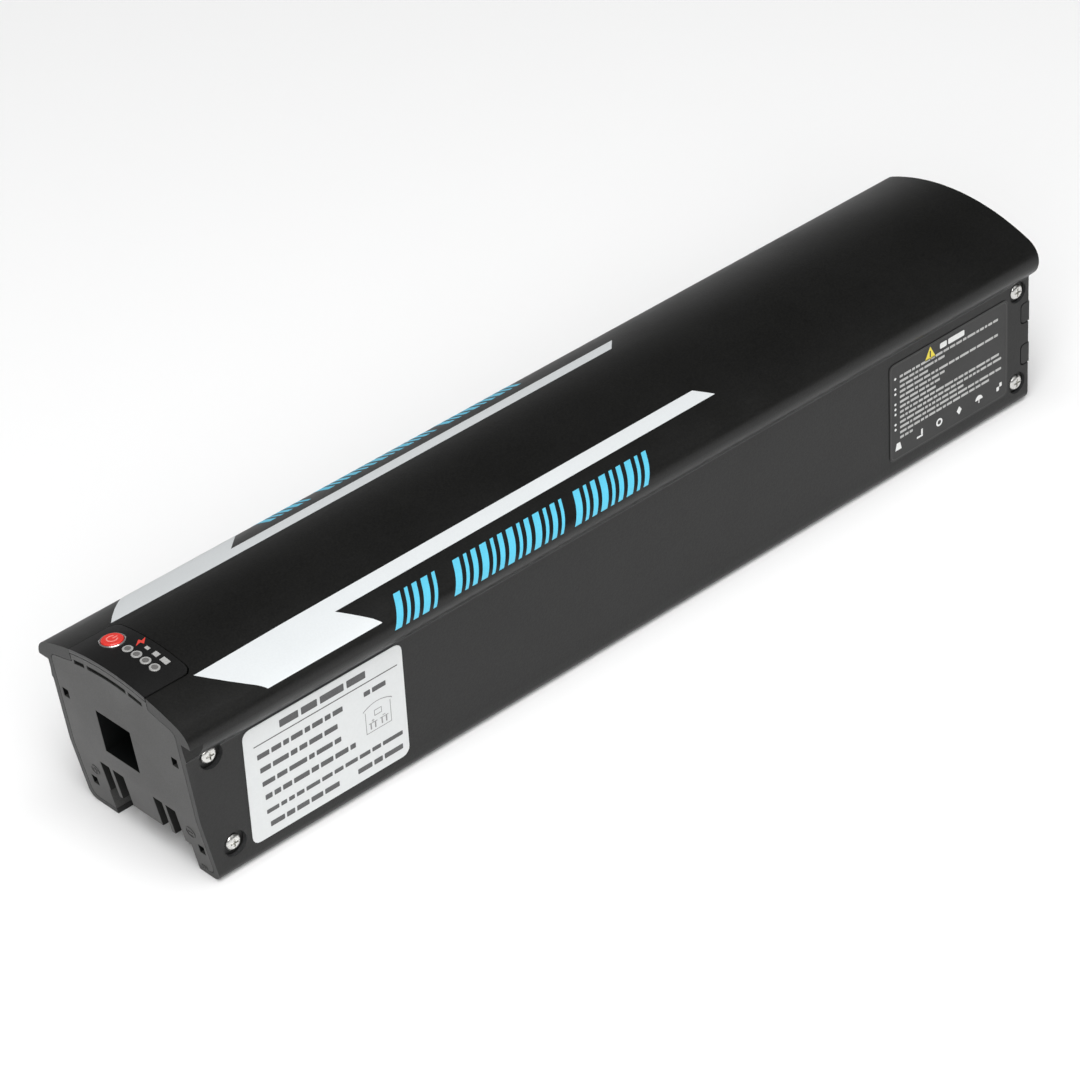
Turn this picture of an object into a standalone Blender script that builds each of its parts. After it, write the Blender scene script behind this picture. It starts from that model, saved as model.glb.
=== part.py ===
"""Battery pack of an electric folding bicycle: a slide-in extruded housing with end caps.

The housing is an aluminium extrusion, 414 mm long.  Its two flared edges ride in the frame tube.
The slanted front cap holds the lock recess and the contact bay, and the indicator panel lies in
a notch of the crown above it.  Inside, ten groups of three 18650 cells lie along the pack in
two layers, with the protection board on top.  The tail cap holds the charging socket.

Frame: the origin is the bottom centre of the whole part, +X runs from the front (contact) end
to the tail, +Y to the side without labels, +Z up.
"""

from math import asin, atan2, ceil, cos, degrees, pi, radians, sin, sqrt, tan

import bmesh
import bpy
from mathutils import Vector

MM = 0.001

# Driving dimensions, in millimetres.
LENGTH = 415.0  # overall, with the lugs of the tail cap
HOUSING_LENGTH = 414.5
BODY_WIDTH = 70.0
CROWN_WIDTH = 80.0
CROWN_TOP = 78.3
CROWN_RADIUS = 90.0
NOSE_RADIUS = 8.0  # the rounded outer edge of each flare
FLARE_ANGLE = 45.0  # of the flare's flat underside, from the vertical
CORNER_RADIUS = 4.0
FLARE_FILLET = 1.5  # where the flare meets the side wall
NOTCH_START, NOTCH_END = 2.2, 8.2  # the flare is cut away under its front end, at a slant
NOTCH_HEIGHT = 12.5
WALL = 2.2
CROWN_WALL = 5.0
GAP = 0.3  # between pieces that touch
WALL_HOLE_RADIUS = 1.9  # the housing's holes for the side screws

# The front end is cut at two slants, steeper below the break.
SLANT_BREAK_Z = 28.0
UPPER_SLANT = radians(6.9)
LOWER_SLANT = radians(11.6)

# Indicator panel, in its notch of the crown.
PANEL_HALF_WIDTH = 20.3
PANEL_DEPTH = 20.9
PANEL_CORNER = 3.5
PANEL_THICKNESS = 1.6
PANEL_GAPS = (0.15, 0.6, 0.3)  # left, right and behind, to the notch
CONTROL_ROW_X = 12.2
BUTTON_Y = 11.4
BUTTON_RADIUS = 3.95
BUTTON_TRAVEL = 0.6
BUTTON_STEM = -4.6  # the stem's end, from the crown
BEZEL_RADIUS = 4.7
LAMP_YS = (3.2, -1.5, -6.2, -10.9)
LAMP_RADIUS = 1.95

# Both caps: their fit in the housing, the holes for the side screws and the gasket's groove.
CAP_EDGE = 0.2
CAP_HOLE_RADIUS = 1.75
CAP_HOLE_END = 27.2  # from the middle of the pack
GROOVE = (1.0, 3.0)  # from the cap's inner edge
GROOVE_DEPTH = 1.2
GASKET = (1.2, 2.8)
GASKET_EDGES = (0.1, 1.15)  # its outside and inside, from the housing's inner wall

# Front cap.  Widths are (low, high) pairs in Y.
CAP_DEPTH = 31.0
FRONT_BOSS = (31.6, 25.5)  # its outer and inner face, in Y
CABLE_HOLE_Y, CABLE_HOLE_Z, CABLE_HOLE_RADIUS = -14.0, 62.0, 2.0
FACE_THICKNESS = 3.0
BULKHEAD = 4.0
LOCK_Y0, LOCK_Y1 = -4.9, 13.3
LOCK_Z0, LOCK_Z1 = 34.2, 52.6
LOCK_WALL = 1.8
SLOTS = ((14.6, 19.5), (6.9, 12.8), (-13.6, -8.7), (-20.6, -15.3))
SLOT_TOP = 25.8
BLADE = 0.8  # thickness of a contact
BRIDGE = 1.0  # thickness of the strip that joins two contacts
BLADE_Z0, BLADE_Z1 = 15.0, 22.8
BAY_TOP = 11.8
BAY_Y0, BAY_Y1 = -23.6, 20.2
WINDOWS = ((29.3, 51.6), (-28.5, 52.3), (27.7, 12.0), (-29.6, 12.8))  # centres, (y, z)
WINDOW_WIDTH, WINDOW_HEIGHT = 3.1, 3.9
SLITS = ((13.0, 18.8), (-9.0, 11.4), (-17.2, -10.2))
SLIT_TOP, SLIT_BOTTOM = 4.2, 6.0  # below the crown

# Side screws: distance from the front end and height.
FRONT_SCREWS = ((13.3, 52.6), (19.3, 12.6))
TAIL_SCREWS = ((408.2, 51.0), (408.2, 10.6))
FRONT_POCKET = (5.0, 1.7)  # radius and depth
TAIL_POCKET = (4.5, 1.2)
SCREW_HEAD_RADIUS = 3.1
SCREW_HEAD_HEIGHT = 1.35

# Cells: five modules along the pack, each with a lower and an upper group of three.
CELL_RADIUS = 9.1
CELL_LENGTH = 65.0
CELL_PITCH_Y = 20.4
MODULES = 5
MODULE_PITCH = 67.8
FIRST_MODULE_X = 47.0
ROW_ZS = (14.6, 35.6)
NICKEL = 0.25
TRAY_TOP = ROW_ZS[1] + CELL_RADIUS + 2.4

# Tail cap.
TAIL_X = HOUSING_LENGTH - 0.2  # the cap's outer face
TAIL_SKIRT = 13.0
TAIL_FACE = 3.0
TAIL_BOSS = (31.0, 25.0)
TAIL_POCKET_DEPTH = 3.6
LUG_ZS = ((35.4, 44.7), (17.0, 26.4))
LUG_LENGTH = 4.4
LUG_GAP = 0.45
SOCKET_Z = 34.0
SOCKET_RADIUS = 6.0
SOCKET_LENGTH = 11.0
SOCKET_RIM = 3.7  # below the cap's face
COVER_RADIUS = 8.0
COVER_HINGE_Z = 45.4
COVER_HINGE_DEPTH = 1.9  # the hinge pin, below the cap's face
COVER_BACK, COVER_FRONT = 3.0, 0.9  # the cover's two faces, below the cap's face
PIN_HOLE_RADIUS = 0.75

# Protection board and its heat sink.
BOARD_X0, BOARD_X1 = 60.0, 150.0
BOARD_HALF_WIDTH = 27.0
BOARD_THICKNESS = 1.6
BOARD_Z = TRAY_TOP + 3.0
SINK_X0, SINK_X1 = 88.0, 142.0
FIN_COUNT = 6
FIN_START, FIN_PITCH = -24.0, 7.2
FIN_THICKNESS, FIN_HEIGHT = 1.6, 9.0
SINK_BASE = 3.0


# ---------------------------------------------------------------- outlines

def along(distance):
    """The X of a point this far behind the front end of the crown."""
    return distance - LENGTH / 2


def arc(cx, cy, radius, start, end, steps):
    """Points along an arc, from the start angle to the end angle in degrees."""
    angles = [radians(start + (end - start) * i / steps) for i in range(steps + 1)]
    return [(cx + radius * cos(a), cy + radius * sin(a)) for a in angles]


def circle(cx, cy, radius, steps):
    return arc(cx, cy, radius, 0, 360, steps)[:-1]


def rectangle(x0, y0, x1, y1):
    return [(x0, y0), (x1, y0), (x1, y1), (x0, y1)]


def rounded_rectangle(x0, y0, x1, y1, radius, steps=5):
    corners = ((x1, y0, -90), (x1, y1, 0), (x0, y1, 90), (x0, y0, 180))
    points = []
    for x, y, start in corners:
        cx = x - radius if x == x1 else x + radius
        cy = y - radius if y == y1 else y + radius
        points += arc(cx, cy, radius, start, start + 90, steps)
    return points


def mirrored(points):
    """A left half added to an open outline of the right half, which runs from bottom to top."""
    return points + [(-y, z) for y, z in reversed(points) if abs(y) > 1e-9]


CROWN_CENTRE_Z = CROWN_TOP - CROWN_RADIUS
NOSE_Y = CROWN_WIDTH / 2 - NOSE_RADIUS
NOSE_Z = CROWN_CENTRE_Z + sqrt((CROWN_RADIUS - NOSE_RADIUS) ** 2 - NOSE_Y ** 2)


def crown_z(y, depth=0.0):
    """The height of the crown at y, or of a surface this deep below it."""
    return CROWN_CENTRE_Z + sqrt((CROWN_RADIUS - depth) ** 2 - y ** 2)


def housing_outline():
    """The outside of the extrusion: rounded bottom, straight sides, flares, noses and crown."""
    half = BODY_WIDTH / 2
    blend = 90 - degrees(atan2(NOSE_Y, NOSE_Z - CROWN_CENTRE_Z))
    right = arc(half - CORNER_RADIUS, CORNER_RADIUS, CORNER_RADIUS, -90, 0, 6)
    nose = arc(NOSE_Y, NOSE_Z, NOSE_RADIUS, -FLARE_ANGLE, blend, 10)
    start_y, start_z = nose[0]
    flare_z = start_z - (start_y - half) / tan(radians(FLARE_ANGLE))
    fillet_z = flare_z - FLARE_FILLET * tan(radians(FLARE_ANGLE / 2))
    right.append((half, SLANT_BREAK_Z))
    right += arc(half + FLARE_FILLET, fillet_z, FLARE_FILLET, 180, 180 - FLARE_ANGLE, 3)
    right += nose
    right += arc(0, CROWN_CENTRE_Z, CROWN_RADIUS, blend, 90, 10)[1:-1]
    return mirrored(right + [(0.0, CROWN_TOP)])


def cavity_outline(inset=0.0):
    """The inside of the extrusion, or an outline this far inside it."""
    half = BODY_WIDTH / 2 - WALL - inset
    floor = WALL + inset
    roof_depth = CROWN_WALL + inset
    corner = 3.0
    right = arc(half - corner, floor + corner, corner, -90, 0, 3)
    shoulder_y = half - corner
    shoulder_z = crown_z(shoulder_y, roof_depth) - 0.6 * corner
    right += arc(shoulder_y, shoulder_z - 0.3 * corner, corner, 0, 75, 3)
    right += [(y, crown_z(y, roof_depth)) for y in (26.0, 20.0, 13.0, 6.5, 0.0)]
    return mirrored(right)


def front_x(z, back=0.0):
    """The distance of the slanted front face at height z, set back by this much."""
    upper = (CROWN_TOP - max(z, SLANT_BREAK_Z)) * tan(UPPER_SLANT)
    lower = max(SLANT_BREAK_Z - z, 0.0) * tan(LOWER_SLANT)
    return upper + lower + back


# ---------------------------------------------------------------- modelling tools

def material(name, colour, roughness, metallic=0.0):
    shader = bpy.data.materials.new(name)
    shader.use_nodes = True
    principled = shader.node_tree.nodes["Principled BSDF"]
    principled.inputs["Base Color"].default_value = (*colour, 1.0)
    principled.inputs["Roughness"].default_value = roughness
    principled.inputs["Metallic"].default_value = metallic
    shader.diffuse_color = (*colour, 1.0)
    return shader


def new_object(name, mesh, finish=None):
    made = bpy.data.objects.new(name, mesh)
    bpy.context.scene.collection.objects.link(made)
    if finish:
        mesh.materials.append(finish)
    return made


def mesh_from(name, bm):
    bmesh.ops.recalc_face_normals(bm, faces=bm.faces)
    mesh = bpy.data.meshes.new(name)
    bm.to_mesh(mesh)
    bm.free()
    return mesh


def add_prism(bm, outline, axis, start, end):
    """Adds a closed prism along an axis; the outline lies in the other two, in order."""
    place = {
        "X": lambda a, b, t: (t, a, b),
        "Y": lambda a, b, t: (a, t, b),
        "Z": lambda a, b, t: (a, b, t),
    }[axis]
    rings = []
    for t in (start, end):
        rings.append([bm.verts.new(Vector(place(a, b, t)) * MM) for a, b in outline])
    bm.faces.new(rings[0])
    bm.faces.new(list(reversed(rings[1])))
    count = len(outline)
    for i in range(count):
        j = (i + 1) % count
        bm.faces.new((rings[0][i], rings[1][i], rings[1][j], rings[0][j]))


def prism(name, outline, axis, start, end, finish=None):
    return prisms(name, [(outline, axis, start, end)], finish)


def prisms(name, parts, finish=None):
    """One object of several prisms that don't touch."""
    bm = bmesh.new()
    for part in parts:
        add_prism(bm, *part)
    return new_object(name, mesh_from(name, bm), finish)


def box(name, low, high, finish=None):
    return prism(name, rectangle(low[0], low[1], high[0], high[1]), "Z", low[2], high[2], finish)


def turned_mesh(name, profile, steps):
    """A solid of revolution about Z: (radius, height) points from the axis back to the axis."""
    bm = bmesh.new()
    rings = []
    for radius, height in profile:
        if radius == 0:
            rings.append([bm.verts.new((0, 0, height * MM))])
        else:
            points = circle(0, 0, radius, steps)
            rings.append([bm.verts.new((x * MM, y * MM, height * MM)) for x, y in points])
    for low, high in zip(rings, rings[1:]):
        for i in range(steps):
            j = (i + 1) % steps
            corners = [low[i % len(low)], low[j % len(low)], high[j % len(high)], high[i % len(high)]]
            unique = list(dict.fromkeys(corners))
            if len(unique) > 2:
                bm.faces.new(unique)
    return mesh_from(name, bm)


def hole_mesh(name, radius, steps, floor=-9.0):
    """A round cutter about Z that reaches out past the crown."""
    return turned_mesh(name, [(0, floor), (radius, floor), (radius, 6), (0, 6)], steps)


def ring_mesh(name, profile, steps):
    """A closed ring about Z: (radius, height) points all round its section."""
    bm = bmesh.new()
    rings = []
    for radius, height in profile:
        points = circle(0, 0, radius, steps)
        rings.append([bm.verts.new((x * MM, y * MM, height * MM)) for x, y in points])
    for low, high in zip(rings, rings[1:] + rings[:1]):
        for i in range(steps):
            j = (i + 1) % steps
            bm.faces.new((low[i], low[j], high[j], high[i]))
    return mesh_from(name, bm)


def smooth(made, angle=35.0):
    made.data.shade_smooth()
    made.data.set_sharp_from_angle(angle=radians(angle))


def boolean(target, tool, operation):
    tool.hide_render = True
    tool.display_type = "WIRE"
    step = target.modifiers.new(tool.name, "BOOLEAN")
    step.operation = operation
    step.solver = "EXACT"
    step.object = tool
    return target


def cut(target, tool):
    return boolean(target, tool, "DIFFERENCE")


def join(target, tool):
    return boolean(target, tool, "UNION")


def finished_mesh(made):
    """The mesh of an object with its modifiers applied, to be shared by copies."""
    graph = bpy.context.evaluated_depsgraph_get()
    return bpy.data.meshes.new_from_object(made.evaluated_get(graph))


def cable(name, route, radius, finish, sides=3):
    """A tube through a smooth curve over the route's points, given in millimetres."""
    points = []
    last = len(route) - 1
    for i in range(last):
        before, start, end, after = (Vector(route[max(0, min(last, k))]) for k in (i - 1, i, i + 1, i + 2))
        steps = max(2, ceil((end - start).length / (radius * 4)))
        for step in range(steps):
            t = step / steps
            points.append(0.5 * (
                2 * start + (end - before) * t
                + (2 * before - 5 * start + 4 * end - after) * t ** 2
                + (3 * start - before - 3 * end + after) * t ** 3
            ))
    points.append(Vector(route[-1]))
    curve = bpy.data.curves.new(name, "CURVE")
    curve.dimensions = "3D"
    curve.bevel_depth = radius * MM
    curve.bevel_resolution = sides - 1
    curve.use_fill_caps = True
    spline = curve.splines.new("POLY")
    spline.points.add(len(points) - 1)
    for slot, point in zip(spline.points, points):
        slot.co = (*(point * MM), 1.0)
    curve.materials.append(finish)
    made = bpy.data.objects.new(name, curve)
    bpy.context.scene.collection.objects.link(made)
    return made


def tilted(made, x, y, z):
    """Places a turned piece on the crown at y, its Z axis along the crown's normal."""
    made.location = Vector((along(x), y, z)) * MM
    made.rotation_euler = (-asin(y / CROWN_RADIUS), 0, 0)


# ---------------------------------------------------------------- front end cutter

def front_cutter(name, back=0.0):
    """All that lies in front of the slanted face, or of a face this far behind it."""
    outside = -30.0
    outline = [(along(outside), -10.0), (along(front_x(-10.0, back)), -10.0)]
    outline.append((along(front_x(SLANT_BREAK_Z, back)), SLANT_BREAK_Z))
    outline.append((along(front_x(90.0, back)), 90.0))
    outline.append((along(outside), 90.0))
    return prism(name, outline, "Y", -60, 60)


def panel_notch(name, clearance, floor):
    """The notch in the crown that takes the panel, with rounded corners at its closed end."""
    half = PANEL_HALF_WIDTH + clearance
    outline = rounded_rectangle(
        along(-30), -half, along(PANEL_DEPTH + clearance), half, PANEL_CORNER, steps=4
    )
    return prism(name, outline, "Z", floor, 95.0)


# ---------------------------------------------------------------- housing

def screw_sites():
    """(x, z, pocket radius, pocket depth) of every side screw, which sits on both sides."""
    sites = [(x, z, *FRONT_POCKET) for x, z in FRONT_SCREWS]
    sites += [(x, z, *TAIL_POCKET) for x, z in TAIL_SCREWS]
    return [(along(x), z, radius, depth) for x, z, radius, depth in sites]


def make_housing(finish):
    housing = prism("housing", housing_outline(), "X", along(-12), along(HOUSING_LENGTH), finish)
    cut(housing, prism("housing_cavity", cavity_outline(), "X", along(-20), along(HOUSING_LENGTH + 5)))
    cut(housing, front_cutter("housing_front"))
    cut(housing, panel_notch("housing_notch", 0.0, 60.0))
    cut(housing, box("housing_bay", (along(-5), BAY_Y0, -5), (along(CAP_DEPTH - BULKHEAD), BAY_Y1, 8)))
    pockets, holes = [], []
    half = BODY_WIDTH / 2
    for x, z, radius, depth in screw_sites():
        for side in (-1, 1):
            outer, inner = side * (half + 3), side * (half - 6)
            pockets.append((circle(x, z, radius, 20), "Y", outer, side * (half - depth)))
            holes.append((circle(x, z, WALL_HOLE_RADIUS, 12), "Y", outer, inner))
    cut(housing, prisms("housing_pockets", pockets))
    cut(housing, prisms("housing_holes", holes))
    notches, ledges = [], []
    for side in (-1, 1):
        for low, high in LUG_ZS:
            outline = lug_outline(low, high, 0.0)
            notches.append((outline, "Y", side * (half + 3), side * (half - 6)))
        ledge = [(along(-5), half + 0.05), (along(NOTCH_START), half + 0.05)]
        ledge += [(along(NOTCH_END), half + 6), (along(-5), half + 6)]
        ledge = [(x, side * y) for x, y in ledge]
        ledges.append((ledge, "Z", NOSE_Z - NOTCH_HEIGHT, NOSE_Z))
    cut(housing, prisms("housing_lug_notches", notches))
    cut(housing, prisms("housing_ledges", ledges))
    return housing


def lug_outline(low, high, clearance):
    """A U lying on its side, open to the tail end."""
    radius = (high - low) / 2 - 3.0
    x0 = along(HOUSING_LENGTH - LUG_LENGTH) + clearance
    x1 = along(HOUSING_LENGTH + 6)
    low, high = low + clearance, high - clearance
    start = arc(x0 + radius, high - radius, radius, 90, 180, 3)
    end = arc(x0 + radius, low + radius, radius, 180, 270, 3)
    return [(x1, high)] + start + end + [(x1, low)]


# ---------------------------------------------------------------- front cap

def make_connector_cap(finish):
    """The slanted plastic end with the lock recess, the contact bay and a bulkhead behind."""
    rear = along(CAP_DEPTH)
    bulkhead_x = along(CAP_DEPTH - BULKHEAD)
    cap = prism("connector_cap", cavity_outline(CAP_EDGE), "X", along(-8), rear, finish)
    join(cap, make_panel_rest())
    cut(cap, make_cap_hollow(bulkhead_x))
    tube = rectangle(
        LOCK_Y0 - LOCK_WALL, LOCK_Z0 - LOCK_WALL, LOCK_Y1 + LOCK_WALL, LOCK_Z1 + LOCK_WALL)
    join(cap, prism("cap_lock_tube", tube, "X", along(front_x(45)), bulkhead_x + 1))
    bosses = []
    for x, z in FRONT_SCREWS:
        for side in (-1, 1):
            outline = rectangle(along(x - 4), z - 3.6, along(x + 4), z + 3.6)
            bosses.append((outline, "Y", side * FRONT_BOSS[0], side * FRONT_BOSS[1]))
    join(cap, prisms("cap_bosses", bosses))
    recess = rectangle(LOCK_Y0, LOCK_Z0, LOCK_Y1, LOCK_Z1)
    cut(cap, prism("cap_lock_recess", recess, "X", along(-20), bulkhead_x + 1.5))
    cut(cap, front_cutter("cap_front"))
    cut(cap, box("cap_bay", (along(-20), BAY_Y0, -5), (bulkhead_x, BAY_Y1, BAY_TOP)))
    slots, passages = [], []
    for low, high in SLOTS:
        outline = rectangle(low, BAY_TOP - 1, high, SLOT_TOP)
        slots.append((outline, "X", along(-20), bulkhead_x))
        middle = (low + high) / 2
        passage = rectangle(middle - BLADE, BLADE_Z0 - 0.6, middle + BLADE, BLADE_Z1 + 0.6)
        passages.append((passage, "X", bulkhead_x - 1, rear + 1))
    cut(cap, prisms("cap_slots", slots))
    cut(cap, prisms("cap_contact_passages", passages))
    cut(cap, make_cap_windows())
    screws = []
    for x, z in FRONT_SCREWS:
        for side in (-1, 1):
            outline = circle(along(x), z, CAP_HOLE_RADIUS, 10)
            screws.append((outline, "Y", side * 36, side * CAP_HOLE_END))
    cut(cap, prisms("cap_screw_holes", screws))
    cut(cap, make_groove("cap_groove", rear - GROOVE[1], rear - GROOVE[0]))
    cable_hole = circle(CABLE_HOLE_Y, CABLE_HOLE_Z, CABLE_HOLE_RADIUS, 12)
    cut(cap, prism("cap_cable_hole", cable_hole, "X", bulkhead_x - 2, rear + 2))
    return cap


def make_groove(name, start, end):
    """The cutter for a gasket's groove round a cap, between two distances along the pack."""
    groove = prism(name, cavity_outline(-2.0), "X", start, end)
    core = prism(name + "_core", cavity_outline(CAP_EDGE + GROOVE_DEPTH), "X", start - 2, end + 2)
    return cut(groove, core)


def make_panel_rest():
    """The cap's upper lip, which carries the panel's front edge."""
    half = PANEL_HALF_WIDTH - CAP_EDGE - 0.1
    depth = PANEL_THICKNESS + GAP
    ys = [half - 2 * half * i / 8 for i in range(9)]
    outline = [(-half, 60.0), (half, 60.0)] + [(y, crown_z(y, depth)) for y in ys]
    return prism("cap_panel_rest", outline, "X", along(-8), along(front_x(60) + 2.0))


def make_cap_hollow(bulkhead_x):
    """The space behind the cap's face; it opens upwards, under the panel."""
    half = BODY_WIDTH / 2 - WALL - 2.4
    floor, roof = SLOT_TOP + 2.2, 66.0
    profile = [(front_at(floor), floor), (bulkhead_x, floor), (bulkhead_x, roof)]
    profile += [(front_at(roof), roof), (front_at(SLANT_BREAK_Z), SLANT_BREAK_Z)]
    hollow = prism("cap_hollow", profile, "Y", -half, half)
    shaft_half = PANEL_HALF_WIDTH - 1.6
    shaft = [(front_at(60.0), 60.0), (along(PANEL_DEPTH - 1.0), 60.0)]
    shaft += [(along(PANEL_DEPTH - 1.0), 85.0), (front_at(85.0), 85.0)]
    join(hollow, prism("cap_hollow_shaft", shaft, "Y", -shaft_half, shaft_half))
    feet = []
    for low, high in ((-half, BAY_Y0 - 2.0), (BAY_Y1 + 2.0, half)):
        profile = [(front_at(6.0), 6.0), (bulkhead_x, 6.0), (bulkhead_x, SLOT_TOP + 4)]
        profile += [(front_at(SLOT_TOP + 4), SLOT_TOP + 4)]
        feet.append((profile, "Y", low, high))
    join(hollow, prisms("cap_hollow_feet", feet))
    return hollow


def front_at(z):
    """The X of the back of the cap's face at height z."""
    return along(front_x(z, FACE_THICKNESS))


def make_cap_windows():
    """Small square windows in the face, and the three slits under the panel."""
    openings = []
    for y, z in WINDOWS:
        half, rise = WINDOW_WIDTH / 2, WINDOW_HEIGHT / 2
        outline = rectangle(y - half, z - rise, y + half, z + rise)
        openings.append((outline, "X", along(-20), along(front_x(z, FACE_THICKNESS + 1.5))))
    for low, high in SLITS:
        ys = [low + (high - low) * i / 4 for i in range(5)]
        outline = [(y, crown_z(y, SLIT_BOTTOM)) for y in ys]
        outline += [(y, crown_z(y, SLIT_TOP)) for y in reversed(ys)]
        openings.append((outline, "X", along(-20), along(FACE_THICKNESS + 3.5)))
    return prisms("cap_windows", openings)


def make_front_gasket(finish):
    rear = along(CAP_DEPTH)
    return make_gasket("front_gasket", rear - GASKET[1], rear - GASKET[0], finish)


def make_gasket(name, start, end, finish):
    """A ring along the housing's inner wall, between two distances along the pack."""
    outside, inside = GASKET_EDGES
    gasket = prism(name, cavity_outline(outside), "X", start, end, finish)
    return cut(gasket, prism(name + "_core", cavity_outline(inside), "X", start - 5, end + 5))


def make_contact(name, slots, finish):
    """A stamped terminal: two blades through the bulkhead, joined by a bridge behind it."""
    rear = along(CAP_DEPTH)
    tip = along(CAP_DEPTH - BULKHEAD - 6.0)
    low, high = sorted((y0 + y1) / 2 for y0, y1 in slots)
    side = BLADE / 2
    bridge = rear + GAP
    outline = [(tip, high + side), (tip, high - side), (bridge, high - side), (bridge, low + side)]
    outline += [(tip, low + side), (tip, low - side)]
    outline += [(bridge + BRIDGE, low - side), (bridge + BRIDGE, high + side)]
    return prism(name, outline, "Z", BLADE_Z0, BLADE_Z1, finish)


# ---------------------------------------------------------------- indicator panel

def make_panel(finish):
    left_gap, right_gap, rear_gap = PANEL_GAPS
    left, right = PANEL_HALF_WIDTH - left_gap, -PANEL_HALF_WIDTH + right_gap
    ys = [left + (right - left) * i / 14 for i in range(15)]
    top = [(y, crown_z(y)) for y in ys]
    bottom = [(y, crown_z(y, PANEL_THICKNESS)) for y in reversed(ys)]
    panel = prism("indicator_panel", top + bottom, "X", along(-8), along(PANEL_DEPTH + 2), finish)
    cut(panel, front_cutter("panel_front"))
    keep = rounded_rectangle(
        along(-20), right, along(PANEL_DEPTH - rear_gap), left, PANEL_CORNER, steps=4)
    intersect = prism("panel_plan", keep, "Z", 60, 90)
    boolean(panel, intersect, "INTERSECT")
    hole = new_object("panel_button_hole", hole_mesh("panel_button_hole", BEZEL_RADIUS + 0.2, 24))
    tilted(hole, CONTROL_ROW_X, BUTTON_Y, crown_z(BUTTON_Y))
    cut(panel, hole)
    lamp_hole = hole_mesh("panel_lamp_hole", LAMP_RADIUS + 0.2, 16)
    for number, y in enumerate(LAMP_YS, 1):
        made = new_object(f"panel_lamp_hole_{number}", lamp_hole)
        tilted(made, CONTROL_ROW_X, y, crown_z(y))
        cut(panel, made)
    return panel


def make_bezel(finish):
    inner = BUTTON_RADIUS + 0.2
    section = [(inner, -2.0), (BEZEL_RADIUS, -2.0), (BEZEL_RADIUS, 0.1), (BEZEL_RADIUS - 0.2, 0.25)]
    section += [(inner + 0.1, 0.25), (inner, 0.15)]
    bezel = new_object("button_bezel", ring_mesh("button_bezel", section, 32), finish)
    tilted(bezel, CONTROL_ROW_X, BUTTON_Y, crown_z(BUTTON_Y))
    smooth(bezel)
    return bezel


def make_button(finish):
    """The red key and its stem; it slides along the crown's normal."""
    top = 0.65
    profile = [(0, BUTTON_STEM), (1.2, BUTTON_STEM), (1.2, -1.4), (BUTTON_RADIUS, -1.4)]
    profile += [(BUTTON_RADIUS, top - 0.25), (BUTTON_RADIUS - 0.25, top), (0, top)]
    button = new_object("power_button", turned_mesh("power_button", profile, 32), finish)
    tilted(button, CONTROL_ROW_X, BUTTON_Y, crown_z(BUTTON_Y))
    smooth(button)
    return button


def make_button_switch(finish):
    """The small push switch under the key, with a well for the key's stem."""
    body = box("button_switch", (-3.0, -3.0, -7.0), (3.0, 3.0, -3.4), finish)
    well = new_object(
        "switch_well", hole_mesh("switch_well", 1.6, 16, BUTTON_STEM - 2 * BUTTON_TRAVEL))
    for made in (body, well):
        tilted(made, CONTROL_ROW_X, BUTTON_Y, crown_z(BUTTON_Y))
    return cut(body, well)


def make_lamps(finish):
    profile = [(0, -6.6), (1.4, -6.6), (1.4, -2.6), (LAMP_RADIUS, -2.0)]
    profile += [(LAMP_RADIUS, 0.02), (LAMP_RADIUS - 0.15, 0.12), (0, 0.12)]
    mesh = turned_mesh("lamp_lens", profile, 16)
    mesh.materials.append(finish)
    for number, y in enumerate(LAMP_YS, 1):
        lens = new_object(f"lamp_lens_{number}", mesh)
        tilted(lens, CONTROL_ROW_X, y, crown_z(y))
        smooth(lens)


def make_indicator_board(finish):
    board_x0, board_x1 = along(front_x(69, FACE_THICKNESS) + 0.8), along(PANEL_DEPTH - 1.6)
    top = crown_z(BUTTON_Y) - 7.9
    return box("indicator_board", (board_x0, -17.0, top - 1.2), (board_x1, 17.0, top), finish)


# ---------------------------------------------------------------- cells

def group_mesh(finish):
    """Three cells side by side with a nickel plate welded across each end."""
    half = CELL_LENGTH / 2
    overlap = 0.05
    cells, plates = [], []
    for column in (-1, 0, 1):
        cells.append((circle(column * CELL_PITCH_Y, 0, CELL_RADIUS, 16), "X", -half, half))
    for end in (-1, 1):
        plate = rectangle(-CELL_PITCH_Y - 5, -4.0, CELL_PITCH_Y + 5, 4.0)
        plates.append((plate, "X", end * (half - overlap), end * (half + NICKEL)))
    body = prisms("group_cells", cells, finish)
    tabs = prisms("group_plates", plates, finish)
    join(body, tabs)
    mesh = finished_mesh(body)
    for scrap in (body, tabs):
        bpy.data.objects.remove(scrap)
    return mesh


def module_x(module):
    return along(FIRST_MODULE_X + CELL_LENGTH / 2 + module * MODULE_PITCH)


def make_cells(finish):
    """Groups 1 to 5 lie below, from front to tail, and 6 to 10 above, back to the front."""
    mesh = group_mesh(finish)
    order = [(module, 0) for module in range(MODULES)]
    order += [(module, 1) for module in reversed(range(MODULES))]
    for number, (module, row) in enumerate(order, 1):
        group = new_object(f"cell_group_{number:02d}", mesh)
        group.location = Vector((module_x(module), 0, ROW_ZS[row])) * MM


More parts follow.
